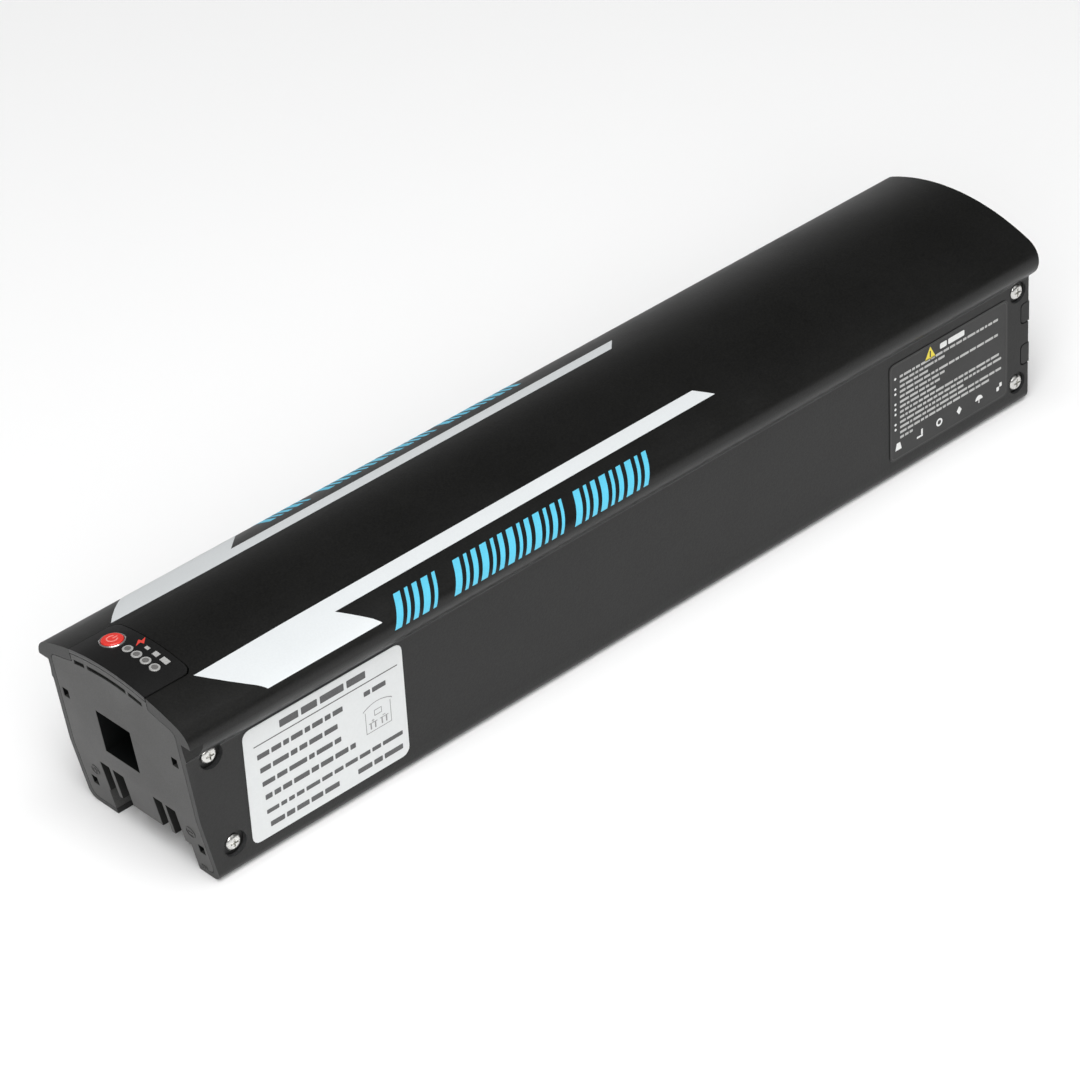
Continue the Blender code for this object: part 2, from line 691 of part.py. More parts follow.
def make_series_links(finish):
    """Folded nickel between neighbouring groups, and a flat one where the string turns back."""
    space = MODULE_PITCH - CELL_LENGTH - 2 * NICKEL
    leg, clear, width = 0.3, 0.1, 18.0
    half = space / 2 - clear
    fold = [(-half, -width), (-half + leg, -width), (-half + leg, width - leg), (half - leg, width - leg)]
    fold += [(half - leg, -width), (half, -width), (half, width), (-half, width)]
    bm = bmesh.new()
    add_prism(bm, fold, "Z", -3.5, 3.5)
    mesh = mesh_from("series_link", bm)
    mesh.materials.append(finish)
    number = 0
    for row in ROW_ZS:
        for module in range(MODULES - 1):
            number += 1
            link = new_object(f"series_link_{number}", mesh)
            middle = module_x(module) + MODULE_PITCH / 2
            link.location = Vector((middle, 0, row)) * MM
    end = module_x(MODULES - 1) + CELL_LENGTH / 2 + NICKEL + clear
    low, high = ROW_ZS[0] - 3.5, ROW_ZS[1] + 3.5
    box("turn_link", (end, -width, low), (end + leg, width, high), finish)


def make_trays(finish):
    """Grooved trays under, between and over the two layers of cells."""
    start = module_x(0) - CELL_LENGTH / 2 + 4
    end = module_x(MODULES - 1) + CELL_LENGTH / 2 - 4
    half = 31.6
    radius = CELL_RADIUS + GAP
    reach = 50.0

    def grooves(centre_z, up):
        """The grooved edge round three cells, from +Y to -Y; up for grooves that open upwards."""
        points = []
        for column in (1, 0, -1):
            middle = -90 if up else 90
            sweep = reach if up else -reach
            points += arc(column * CELL_PITCH_Y, centre_z, radius, middle + sweep, middle - sweep, 6)
        return points

    def edge_z(centre_z, up):
        drop = radius * cos(radians(reach))
        return centre_z - drop if up else centre_z + drop

    lower, upper = ROW_ZS
    floor = WALL + GAP
    bottom = [(half, edge_z(lower, True))] + grooves(lower, True) + [(-half, edge_z(lower, True))]
    bottom += [(-half, floor + 2), (-half + 2, floor), (half - 2, floor), (half, floor + 2)]
    prism("cell_tray_bottom", bottom, "X", start, end, finish)
    middle = [(half, edge_z(upper, True))] + grooves(upper, True) + [(-half, edge_z(upper, True))]
    underside = [(half, edge_z(lower, False))] + grooves(lower, False) + [(-half, edge_z(lower, False))]
    prism("cell_tray_middle", middle + list(reversed(underside)), "X", start, end, finish)
    top = [(half, edge_z(upper, False))] + grooves(upper, False) + [(-half, edge_z(upper, False))]
    top += [(-half, TRAY_TOP), (half, TRAY_TOP)]
    prism("cell_tray_top", top, "X", start, end, finish)


# ---------------------------------------------------------------- electronics and wiring

def make_protection_board(board_finish, sink_finish):
    """The board that guards the cells, its power parts under a finned heat sink."""
    top = BOARD_Z + BOARD_THICKNESS
    board = box("protection_board", (along(BOARD_X0), -BOARD_HALF_WIDTH, BOARD_Z),
                (along(BOARD_X1), BOARD_HALF_WIDTH, top), board_finish)
    feet = []
    for x in (BOARD_X0 + 4, BOARD_X1 - 4):
        for y in (-23, 23):
            feet.append((circle(along(x), y, 2.2, 10), "Z", TRAY_TOP + GAP, BOARD_Z + 0.2))
    join(board, prisms("board_feet", feet))
    base = top + GAP
    outline = [(FIN_START, base)]
    for fin in range(FIN_COUNT):
        y = FIN_START + fin * FIN_PITCH
        outline += [(y, base + FIN_HEIGHT), (y + FIN_THICKNESS, base + FIN_HEIGHT)]
        outline += [(y + FIN_THICKNESS, base + SINK_BASE), (y + FIN_PITCH, base + SINK_BASE)]
    last = FIN_START + (FIN_COUNT - 1) * FIN_PITCH + FIN_THICKNESS
    outline = outline[:-2] + [(last, base)]
    prism("board_heat_sink", outline, "X", along(SINK_X0), along(SINK_X1), sink_finish)


def make_wiring(red, black, grey):
    """Leads held along their whole route, from the cells and the contacts to the board."""
    board_edge = along(BOARD_X0) - GAP
    rear = along(CAP_DEPTH) + GAP + BRIDGE + GAP
    level = BOARD_Z + 0.8
    front_plate = along(FIRST_MODULE_X) - NICKEL - GAP
    cable("contact_lead_positive", [
        (rear, 13.9, 19.0), (rear + 4.0, 14.2, 21.0), (rear + 6.5, 17.0, 33.0),
        (rear + 7.5, 19.5, 45.0), (rear + 13.0, 20.5, level - 0.4), (board_edge, 20.5, level)], 1.5, red)
    cable("contact_lead_negative", [
        (rear, -13.9, 19.0), (rear + 4.0, -14.2, 21.0), (rear + 6.5, -17.0, 33.0),
        (rear + 7.5, -19.5, 45.0), (rear + 13.0, -20.5, level - 0.4), (board_edge, -20.5, level)], 1.5, black)
    cable("pack_lead_positive", [
        (front_plate, 6.0, ROW_ZS[1]), (front_plate - 2.4, 6.1, ROW_ZS[1] + 0.3),
        (front_plate - 4.4, 6.6, ROW_ZS[1] + 4.0), (front_plate - 3.4, 8.0, 46.0),
        (front_plate + 4.0, 9.5, level - 0.4), (board_edge, 9.5, level)], 1.5, red)
    cable("pack_lead_negative", [
        (front_plate, -6.0, ROW_ZS[0]), (front_plate - 2.4, -6.1, ROW_ZS[0] + 0.3),
        (front_plate - 4.4, -6.6, ROW_ZS[0] + 4.0), (front_plate - 4.4, -7.5, 32.0),
        (front_plate - 3.6, -8.5, 46.0),
        (front_plate + 4.0, -9.5, level - 0.4), (board_edge, -9.5, level)], 1.5, black)
    cable("indicator_cable", [
        (along(17.0), -14.0, 68.1), (along(17.0), -14.0, 66.4), (along(19.0), -14.0, 63.4),
        (along(24.0), -14.0, 62.0), (along(27.0), -14.0, 62.0), (along(33.0), -14.0, 62.0),
        (along(44.0), -14.5, 60.0), (board_edge - 4.0, -15.0, level + 0.6),
        (board_edge, -15.0, level)], 1.1, grey)
    socket_back = along(TAIL_X - SOCKET_RIM - SOCKET_LENGTH) - GAP
    cable("charge_lead", [
        (along(BOARD_X1) + GAP, 16.0, level), (along(BOARD_X1 + 5), 16.0, level + 0.2),
        (along(BOARD_X1 + 20), 16.0, level + 1.0),
        (along(210), 15.0, TRAY_TOP + 4.0), (along(300), 12.0, TRAY_TOP + 3.0),
        (along(370), 9.0, TRAY_TOP + 3.0), (along(387), 3.0, TRAY_TOP + 0.5),
        (along(391.5), 0.5, SOCKET_Z + 6.0), (socket_back - 3.5, 0.0, SOCKET_Z + 0.4),
        (socket_back, 0.0, SOCKET_Z)], 1.6, black)


# ---------------------------------------------------------------- tail end

def make_tail_cap(finish):
    """The square plastic end: a face, a skirt, four lugs in the housing's notches and a pocket."""
    face = along(TAIL_X)
    inner = face - TAIL_SKIRT
    half = BODY_WIDTH / 2
    cap = prism("tail_cap", cavity_outline(CAP_EDGE), "X", inner, face, finish)
    cut(cap, prism("tail_hollow", rectangle(-30.2, 6.0, 30.2, 64.0), "X", inner - 2, face - TAIL_FACE - 4.5))
    lugs, bosses, holes = [], [], []
    for side in (-1, 1):
        for low, high in LUG_ZS:
            lug = [(min(x, along(LENGTH)), z) for x, z in lug_outline(low, high, LUG_GAP)]
            lugs.append((lug, "Y", side * (half - WALL - 2), side * (half - 0.05)))
        for x, z in TAIL_SCREWS:
            outline = rectangle(along(x - 4.5), z - 4, along(x + 4), z + 4)
            bosses.append((outline, "Y", side * TAIL_BOSS[0], side * TAIL_BOSS[1]))
            hole = circle(along(x), z, CAP_HOLE_RADIUS, 10)
            holes.append((hole, "Y", side * 36, side * CAP_HOLE_END))
    join(cap, prisms("tail_lugs", lugs))
    join(cap, prisms("tail_bosses", bosses))
    cut(cap, prisms("tail_screw_holes", holes))
    pocket = rounded_rectangle(-COVER_RADIUS - 1.2, SOCKET_Z - COVER_RADIUS - 1.2,
                               COVER_RADIUS + 1.2, COVER_HINGE_Z + 3.0, 4.0, 4)
    cut(cap, prism("tail_pocket", pocket, "X", face - TAIL_POCKET_DEPTH, face + 5))
    socket_hole = circle(0, SOCKET_Z, SOCKET_RADIUS + 0.3, 20)
    cut(cap, prism("tail_socket_hole", socket_hole, "X", face - 20, face + 5))
    hinge_x = face - COVER_HINGE_DEPTH
    ears = []
    for side in (-1, 1):
        ears.append((circle(hinge_x, COVER_HINGE_Z, 1.5, 12), "Y", side * 4.4, side * 9.6))
    join(cap, prisms("tail_ears", ears))
    pin_hole = circle(hinge_x, COVER_HINGE_Z, PIN_HOLE_RADIUS, 10)
    cut(cap, prism("tail_pin_hole", pin_hole, "Y", -7.2, 7.2))
    cut(cap, make_groove("tail_groove", inner + GROOVE[0], inner + GROOVE[1]))
    return cap


def make_tail_gasket(finish):
    inner = along(TAIL_X - TAIL_SKIRT)
    return make_gasket("tail_gasket", inner + GASKET[0], inner + GASKET[1], finish)


def facing_tail(made, x, z):
    """Places a turned piece with its Z axis along +X, at this height on the centre line."""
    made.location = Vector((x, 0, z)) * MM
    made.rotation_euler = (0, pi / 2, 0)


def make_charge_socket(finish):
    """A round barrel socket with a centre pin, behind the pocket's floor."""
    rim = along(TAIL_X - SOCKET_RIM)
    back = -SOCKET_LENGTH
    profile = [(0, back), (SOCKET_RADIUS, back), (SOCKET_RADIUS, 0.0), (3.5, 0.0), (3.5, back + 2)]
    profile += [(0.8, back + 2), (0.8, -4.6), (0, -4.2)]
    socket = new_object("charge_socket", turned_mesh("charge_socket", profile, 20), finish)
    facing_tail(socket, rim, SOCKET_Z)
    smooth(socket)
    return socket


def make_charge_cover(rubber, steel):
    """The hinged rubber cover in its pocket: a disc with a plug, and a knuckle round the pin."""
    hinge_x = along(TAIL_X - COVER_HINGE_DEPTH)
    disc_back, disc_front = along(TAIL_X - COVER_BACK), along(TAIL_X - COVER_FRONT)
    disc = circle(0, SOCKET_Z, COVER_RADIUS, 28)
    cover = prism("charge_cover", disc, "X", disc_back, disc_front, rubber)
    join(cover, prism("cover_plug", circle(0, SOCKET_Z, 2.6, 16), "X", disc_back - 3.4, disc_back + 0.5))
    neck = rectangle(-3.9, SOCKET_Z + 5.0, 3.9, COVER_HINGE_Z)
    join(cover, prism("cover_neck", neck, "X", disc_back + 0.1, disc_front - 0.1))
    join(cover, prism("cover_knuckle", circle(hinge_x, COVER_HINGE_Z, 1.45, 16), "Y", -3.9, 3.9))
    pin_hole = circle(hinge_x, COVER_HINGE_Z, PIN_HOLE_RADIUS, 10)
    cut(cover, prism("cover_pin_hole", pin_hole, "Y", -6, 6))
    prism("cover_pin", circle(hinge_x, COVER_HINGE_Z, 0.5, 10), "Y", -7.0, 7.0, steel)
    return cover


# ---------------------------------------------------------------- screws and labels

def screw_mesh(finish):
    """A flat-headed cross-recess screw; Z points out of the wall, from the head's seat."""
    head = SCREW_HEAD_HEIGHT
    profile = [(0, -5.4), (1.45, -5.4), (1.45, 0.0), (SCREW_HEAD_RADIUS, 0.0)]
    profile += [(SCREW_HEAD_RADIUS, 0.55), (SCREW_HEAD_RADIUS - 0.45, 1.05), (1.9, head), (0, head)]
    body = new_object("screw_blank", turned_mesh("screw_blank", profile, 20), finish)
    cross = [(1.7, 0.35), (0.35, 0.35), (0.35, 1.7), (-0.35, 1.7), (-0.35, 0.35), (-1.7, 0.35)]
    cross += [(-x, -y) for x, y in cross]
    recess = prism("screw_recess", cross, "Z", 0.3, 4.0)
    cut(body, recess)
    mesh = finished_mesh(body)
    for scrap in (body, recess):
        bpy.data.objects.remove(scrap)
    return mesh


def make_screws(finish):
    mesh = screw_mesh(finish)
    names = ("front_upper", "front_lower", "tail_upper", "tail_lower")
    for name, (x, z, _, depth) in zip(names, screw_sites()):
        seat = BODY_WIDTH / 2 - depth + 0.05
        for side, word in ((-1, "right"), (1, "left")):
            screw = new_object(f"screw_{name}_{word}", mesh)
            screw.location = Vector((x, side * seat, z)) * MM
            screw.rotation_euler = (-side * pi / 2, 0, 0)


def make_labels(white, dark):
    """Two thin stickers on the side wall."""
    wall = -BODY_WIDTH / 2
    outer, inner = wall - 0.25, wall - 0.05
    rating = rounded_rectangle(along(26.6), 7.4, along(97.3), 54.5, 3.2, 4)
    prism("rating_label", rating, "Y", outer, inner, white)
    notices = rounded_rectangle(along(338.0), 8.1, along(402.6), 50.9, 2.2, 4)
    prism("notices_label", notices, "Y", outer, inner, dark)


# ---------------------------------------------------------------- the whole pack

def main():
    for made in list(bpy.data.objects):
        bpy.data.objects.remove(made)
    anodised = material("anodised_black", (0.012, 0.012, 0.012), 0.38, 0.4)
    cap_plastic = material("cap_plastic", (0.05, 0.05, 0.05), 0.5)
    panel_plastic = material("panel_film", (0.012, 0.012, 0.012), 0.3)
    red_plastic = material("button_red", (0.62, 0.03, 0.02), 0.35)
    bright_ring = material("bezel_chrome", (0.8, 0.8, 0.8), 0.25, 0.9)
    lens = material("lamp_lens", (0.6, 0.6, 0.58), 0.4)
    rubber = material("black_rubber", (0.02, 0.02, 0.02), 0.8)
    steel = material("zinc_steel", (0.7, 0.7, 0.68), 0.3, 1.0)
    copper = material("contact_copper", (0.75, 0.5, 0.25), 0.3, 1.0)
    board = material("board_green", (0.02, 0.2, 0.08), 0.5)
    switch = material("switch_body", (0.08, 0.08, 0.08), 0.5)
    aluminium = material("sink_aluminium", (0.6, 0.6, 0.6), 0.4, 1.0)
    sleeve = material("cell_sleeve", (0.05, 0.25, 0.35), 0.4)
    nickel = material("nickel", (0.65, 0.62, 0.55), 0.3, 1.0)
    tray = material("tray_plastic", (0.75, 0.75, 0.72), 0.6)
    red_wire = material("red_wire", (0.6, 0.02, 0.02), 0.5)
    black_wire = material("black_wire", (0.02, 0.02, 0.02), 0.5)
    grey_wire = material("grey_wire", (0.3, 0.3, 0.3), 0.5)
    white_label = material("white_label", (0.85, 0.86, 0.86), 0.5)
    dark_label = material("dark_label", (0.03, 0.03, 0.03), 0.4)

    make_housing(anodised)
    make_connector_cap(cap_plastic)
    make_front_gasket(rubber)
    make_contact("contact_positive", SLOTS[:2], copper)
    make_contact("contact_negative", SLOTS[2:], copper)
    make_panel(panel_plastic)
    make_bezel(bright_ring)
    make_button(red_plastic)
    make_button_switch(switch)
    make_lamps(lens)
    make_indicator_board(board)
    make_cells(sleeve)
    make_series_links(nickel)
    make_trays(tray)
    make_protection_board(board, aluminium)
    make_wiring(red_wire, black_wire, grey_wire)
    make_tail_cap(cap_plastic)
    make_tail_gasket(rubber)
    make_charge_socket(cap_plastic)
    make_charge_cover(rubber, steel)
    make_screws(steel)
    make_labels(white_label, dark_label)


main()
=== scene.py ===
import random
from math import atan2, cos, pi, radians, sin, sqrt

import bmesh
import bpy
from mathutils import Matrix, Vector


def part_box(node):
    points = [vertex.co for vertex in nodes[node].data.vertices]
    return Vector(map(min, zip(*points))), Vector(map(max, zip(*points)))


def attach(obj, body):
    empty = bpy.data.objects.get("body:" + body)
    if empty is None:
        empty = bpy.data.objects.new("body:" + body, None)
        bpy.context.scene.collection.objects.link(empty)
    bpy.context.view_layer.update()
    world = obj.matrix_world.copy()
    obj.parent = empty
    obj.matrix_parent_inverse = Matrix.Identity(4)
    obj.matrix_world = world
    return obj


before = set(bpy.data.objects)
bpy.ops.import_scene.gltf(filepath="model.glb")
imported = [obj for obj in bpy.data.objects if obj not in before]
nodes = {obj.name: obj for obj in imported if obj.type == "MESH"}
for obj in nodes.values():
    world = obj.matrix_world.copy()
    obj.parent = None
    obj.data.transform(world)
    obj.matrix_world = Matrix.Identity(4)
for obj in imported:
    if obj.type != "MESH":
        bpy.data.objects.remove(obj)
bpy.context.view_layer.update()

MM = 0.001
SEED = 7  # of the lengths of the printed blocks

# All sizes below are in millimetres, as part.py makes them. A distance is measured along
# the pack from the front end of the crown.

# The extrusion's section.
LENGTH = 415.0
CROWN_TOP = 78.3
CROWN_RADIUS = 90.0
CROWN_CENTRE_Z = CROWN_TOP - CROWN_RADIUS
NOSE_RADIUS = 8.0
NOSE_Y = 32.0
NOSE_Z = CROWN_CENTRE_Z + sqrt((CROWN_RADIUS - NOSE_RADIUS) ** 2 - NOSE_Y ** 2)
SLANT_BREAK_Z = 28.0
UPPER_SLANT = radians(6.9)
LOWER_SLANT = radians(11.6)
WALL_Y = 35.0  # of the side walls' outer faces

# Thin films: how far they stand out of a surface, and how deep they reach into it.
FILM, FILM_ROOT = 0.05, 0.08
BAND_FILM = 0.03
PRINT, PRINT_ROOT = 0.03, 0.05
RAISED_ROOT = 0.1  # of moulded marks
LINER, LINER_ROOT = 0.06, 0.01  # linings of painted shade stand off the wall by their root
STRIPE_PITCH, BAND_PITCH, PANEL_PITCH = 1.5, 0.8, 2.0  # cuts that follow the curve
SMOOTH_ANGLE, FILM_SMOOTH_ANGLE = 32.0, 40.0
WELD_DISTANCE = 1e-6

# The indicator panel.
CONTROL_ROW_X = 12.2
BUTTON_Y = 11.4
BUTTON_TOP = 0.65  # above the crown
BUTTON_MARK = 0.06  # above the key
MARK_OUTER, MARK_INNER = 2.05, 1.6
MARK_ARC = (35, 325)  # degrees, open where the bar leaves the ring
MARK_BAR = (0.3, 2.3, 0.22)  # start, end and half width
LAMP_YS = (3.2, -1.5, -6.2, -10.9)
LAMP_TOP = 0.12
LAMP_FACE_RADIUS = 1.22
BOLT = ((14.9, 2.2), (17.9, 4.6), (18.3, 3.3), (20.5, 4.0), (17.7, 1.3), (17.3, 2.8))
STEP_X, STEP_LEAN = 16.9, 0.2
STEPS = ((-1.5, 2.0, 1.4), (-6.1, 2.4, 2.1), (-10.7, 3.4, 2.3))  # centre, width, length
SEAM_YS = (-19.6, 20.0)
SEAM_TOP, SEAM_BOTTOM, SEAM_STEPS = 0.6, 0.75, 16  # below the crown
SEAM_FILM = 0.02

# The openings and marks of the front cap.
LOCK_Y, LOCK_Z, LOCK_DEPTH = (-4.9, 13.3), (34.2, 52.6), 28.2
SLOT_YS = ((14.6, 19.5), (6.9, 12.8), (-13.6, -8.7), (-20.6, -15.3))
SLOT_ZS, SLOT_DEPTH = (11.8, 25.8), 26.8
WINDOWS = ((29.3, 51.6), (-28.5, 52.3), (27.7, 12.0), (-29.6, 12.8))  # centres, (y, z)
WINDOW_HALF_WIDTH, WINDOW_HALF_HEIGHT, WINDOW_DEPTH = 1.55, 1.95, 2.4
SLITS = ((13.0, 18.8), (-9.0, 11.4), (-17.2, -10.2))
SLIT_TOP, SLIT_BOTTOM = 4.2, 6.0  # below the crown
SLIT_DEPTH, SLIT_FILM, SLIT_STEPS = 0.6, 0.2, 4
MOUTH = 0.15  # how far behind the face a lining starts
POLE_MARKS = ((24.9, 18.6, 2.2, True), (-26.2, 19.2, 2.4, False))  # y, z, radius, plus
POLE_RING, POLE_BAR, POLE_RISE = 0.35, 0.2, 0.2
RIB_YS, RIB_WIDTH, RIB_ZS, RIB_RISE = (-28.8, -27.7, -26.6), 0.5, (2.4, 3.9), 0.25

# The screw pockets in the walls, and the lugs of the tail cap.
SCREWS = (  # distance, height, radius and depth of each pocket
    (13.3, 52.6, 5.0, 1.7), (19.3, 12.6, 5.0, 1.7),
    (408.2, 51.0, 4.5, 1.2), (408.2, 10.6, 4.5, 1.2))
EDGE_START, EDGE_END = 0.01, 0.09  # of a pocket's edge, inwards from its radius
EDGE_TOP, EDGE_FLOOR = 0.12, 0.02  # below the wall, and above the pocket's floor
LUG_ZS = ((35.4, 44.7), (17.0, 26.4))
LUG_START, LUG_END, LUG_GAP, LUG_CORNER = 410.1, 414.4, 0.45, 1.65
LUG_CLEAR = 0.02  # between the film of painted shade and both walls of the joint
LUG_FILM_TOP, LUG_FILM_BOTTOM = 0.25, 0.35  # below the wall


def along(distance):
    """The X of a point this far behind the front end of the crown."""
    return distance - LENGTH / 2


def front_x(z):
    """The distance of the slanted front face at height z."""
    upper = (CROWN_TOP - max(z, SLANT_BREAK_Z)) * sin(UPPER_SLANT) / cos(UPPER_SLANT)
    lower = max(SLANT_BREAK_Z - z, 0.0) * sin(LOWER_SLANT) / cos(LOWER_SLANT)
    return upper + lower


# ---------------------------------------------------------------- materials

RAMP_START, RAMP_END = 0.35, 0.65
FINE_DETAIL, FINE_ROUGHNESS = 2.0, 0.6
BROAD_DETAIL, BROAD_ROUGHNESS = 4.0, 0.55
IOR = 1.5


def grain(tree, scale, detail, rough):
    """Noise over the object's own coordinates, in metres."""
    place = tree.nodes.new("ShaderNodeTexCoord")
    noise = tree.nodes.new("ShaderNodeTexNoise")
    noise.inputs["Scale"].default_value = scale
    noise.inputs["Detail"].default_value = detail
    noise.inputs["Roughness"].default_value = rough
    tree.links.new(place.outputs["Object"], noise.inputs["Vector"])
    return noise


def ramp(tree, source, low, high):
    """A colour ramp from one colour or grey to another, over the middle of the noise."""
    made = tree.nodes.new("ShaderNodeValToRGB")
    made.color_ramp.elements[0].position = RAMP_START
    made.color_ramp.elements[1].position = RAMP_END
    for element, value in zip(made.color_ramp.elements, (low, high)):
        colour = value if isinstance(value, tuple) else (value, value, value)
        element.color = (*colour, 1.0)
    tree.links.new(source, made.inputs["Fac"])
    return made.outputs["Color"]


def finish(name, colour, rough, metallic=0.0, speckle=0.12, patch=0.1, grain_scale=2600.0,
           patch_scale=30.0, bump=0.0, bump_distance=0.00004, rough_spread=0.06, coat=0.0,
           sheen=0.0, specular=0.5):
    """A surface with fine speckle, broad patches and grain in its colour, roughness and bump."""
    made = bpy.data.materials.new(name)
    made.use_nodes = True
    tree = made.node_tree
    shader = tree.nodes["Principled BSDF"]
    fine = grain(tree, grain_scale, FINE_DETAIL, FINE_ROUGHNESS)
    broad = grain(tree, patch_scale, BROAD_DETAIL, BROAD_ROUGHNESS)
    dark = tuple(c * (1 - speckle) for c in colour)
    light = tuple(min(1.0, c * (1 + speckle)) for c in colour)
    speckled = ramp(tree, fine.outputs["Fac"], dark, light)
    tint = ramp(tree, broad.outputs["Fac"], 1 - patch, 1.0)
    mix = tree.nodes.new("ShaderNodeMix")
    mix.data_type = "RGBA"
    mix.blend_type = "MULTIPLY"
    mix.inputs["Factor"].default_value = 1.0
    tree.links.new(speckled, mix.inputs["A"])
    tree.links.new(tint, mix.inputs["B"])
    tree.links.new(mix.outputs["Result"], shader.inputs["Base Color"])
    wear = ramp(tree, broad.outputs["Fac"], rough - rough_spread, rough + rough_spread)
    tree.links.new(wear, shader.inputs["Roughness"])
    if bump:
        relief = tree.nodes.new("ShaderNodeBump")
        relief.inputs["Strength"].default_value = bump
        relief.inputs["Distance"].default_value = bump_distance
        tree.links.new(fine.outputs["Fac"], relief.inputs["Height"])
        tree.links.new(relief.outputs["Normal"], shader.inputs["Normal"])
    shader.inputs["Metallic"].default_value = metallic
    shader.inputs["Coat Weight"].default_value = coat
    shader.inputs["Sheen Weight"].default_value = sheen
    shader.inputs["Specular IOR Level"].default_value = specular
    shader.inputs["IOR"].default_value = IOR
    return made


anodised = finish("anodised_black", (0.0070, 0.0070, 0.0066), 0.38, speckle=0.35,
                  grain_scale=1500.0, bump=0.6, bump_distance=0.00006, rough_spread=0.03,
                  specular=0.33)
cap_plastic = finish("cap_plastic", (0.045, 0.0445, 0.043), 0.46, speckle=0.18, grain_scale=1900.0,
                     bump=0.35, rough_spread=0.05)
panel_film = finish("panel_film", (0.010, 0.010, 0.010), 0.32, speckle=0.3, grain_scale=2400.0,
                    bump=0.2, rough_spread=0.03)
tail_plastic = finish("tail_plastic", (0.0075, 0.0075, 0.007), 0.45, speckle=0.18,
                      grain_scale=1900.0, bump=0.35, specular=0.4)
# Painted highlight: a lighter, half-metallic grey that stands in for light falling on the screw
# pockets' walls.
pocket_painted_highlight = finish("pocket_painted_highlight", (0.075, 0.076, 0.078), 0.34, metallic=0.5, speckle=0.2,
                     patch=0.25, grain_scale=1300.0, patch_scale=300.0, bump=0.3)
rubber = finish("black_rubber", (0.02, 0.02, 0.02), 0.72, grain_scale=1200.0, bump=0.5, sheen=0.1)
button_red = finish("button_red", (0.74, 0.045, 0.035), 0.34, speckle=0.05, patch=0.06,
                    bump=0.1)
button_mark = finish("button_mark", (0.85, 0.30, 0.27), 0.4, speckle=0.05, patch=0.04)
bright_ring = finish("bezel_chrome", (0.80, 0.79, 0.78), 0.24, metallic=0.85, speckle=0.04,
                     patch=0.06, rough_spread=0.06)
lens_ring = finish("lamp_ring", (0.36, 0.36, 0.35), 0.4, speckle=0.05, patch=0.05)
lens_centre = finish("lamp_centre", (0.15, 0.147, 0.143), 0.3, speckle=0.05, patch=0.05)
zinc = finish("zinc_steel", (0.72, 0.715, 0.69), 0.27, metallic=1.0, speckle=0.06, patch=0.14,
              grain_scale=1300.0, patch_scale=260.0, bump=0.15, rough_spread=0.1)
copper = finish("contact_copper", (0.78, 0.52, 0.27), 0.28, metallic=1.0, patch=0.2,
                patch_scale=200.0, bump=0.1)
board_green = finish("board_green", (0.012, 0.12, 0.045), 0.4, speckle=0.2, patch=0.2,
                     grain_scale=900.0, bump=0.2, coat=0.3)
aluminium = finish("sink_aluminium", (0.62, 0.62, 0.63), 0.36, metallic=1.0, bump=0.3)
sleeve = finish("cell_sleeve", (0.03, 0.22, 0.34), 0.32, speckle=0.05, patch=0.12, coat=0.2)
nickel = finish("nickel_strip", (0.66, 0.63, 0.56), 0.3, metallic=1.0, patch=0.15, bump=0.2)
tray_plastic = finish("tray_plastic", (0.72, 0.71, 0.67), 0.55, speckle=0.06, bump=0.3)
wire_red = finish("wire_red", (0.60, 0.02, 0.015), 0.5, bump=0.2)
wire_black = finish("wire_black", (0.02, 0.02, 0.02), 0.5, bump=0.2)
wire_grey = finish("wire_grey", (0.28, 0.28, 0.28), 0.5, bump=0.2)
label_white = finish("label_white", (0.685, 0.70, 0.70), 0.5, speckle=0.012, patch=0.025,
                     grain_scale=900.0, patch_scale=45.0, bump=0.04, rough_spread=0.05)
label_dark = finish("label_dark", (0.0125, 0.0125, 0.012), 0.42, speckle=0.15, patch=0.1,
                    grain_scale=1400.0, bump=0.15)
ink_black = finish("ink_black", (0.09, 0.09, 0.092), 0.5, speckle=0.15, patch=0.2,
                   patch_scale=180.0)
ink_grey = finish("ink_grey", (0.30, 0.30, 0.30), 0.5, speckle=0.1, patch=0.15,
                  patch_scale=180.0)
ink_silver = finish("ink_silver", (0.50, 0.50, 0.49), 0.5, speckle=0.08, patch=0.12,
                    patch_scale=180.0)
ink_white = finish("ink_white", (0.80, 0.80, 0.79), 0.5, speckle=0.05, patch=0.08,
                   patch_scale=180.0)
ink_faint = finish("ink_faint", (0.05, 0.05, 0.048), 0.45, speckle=0.1, patch=0.2)
ink_yellow = finish("ink_yellow", (0.80, 0.66, 0.06), 0.45, speckle=0.05, patch=0.06)
film_white = finish("film_white", (0.665, 0.69, 0.70), 0.42, speckle=0.015, patch=0.03,
                    grain_scale=1500.0, patch_scale=25.0, bump=0.12, rough_spread=0.04)
film_cyan = finish("film_cyan", (0.105, 0.53, 0.73), 0.42, speckle=0.03, patch=0.05,
                   grain_scale=1500.0, patch_scale=25.0, bump=0.12, rough_spread=0.04)
icon_red = finish("icon_red", (0.70, 0.06, 0.045), 0.4, speckle=0.05, patch=0.05)
icon_grey = finish("icon_grey", (0.40, 0.40, 0.39), 0.4, speckle=0.05, patch=0.05)
# Painted shade: a near-black line for the shade in the seam at the panel's front edge.
seam_painted_shade = finish("seam_painted_shade", (0.004, 0.004, 0.004), 0.6, speckle=0.2, patch=0.1)
# Painted shade: a dark film for the shade inside the contact slots.
slot_painted_shade = finish("slot_painted_shade", (0.014, 0.014, 0.0135), 0.6, speckle=0.2, patch=0.2, specular=0.25)
# Painted shade: a near-black film for the shade inside the recess, the windows, the slits and the
# lug joints.
painted_shade_black = finish("painted_shade_black", (0.0022, 0.0026, 0.0026), 0.7, speckle=0.3, patch=0.2,
                      specular=0.15)

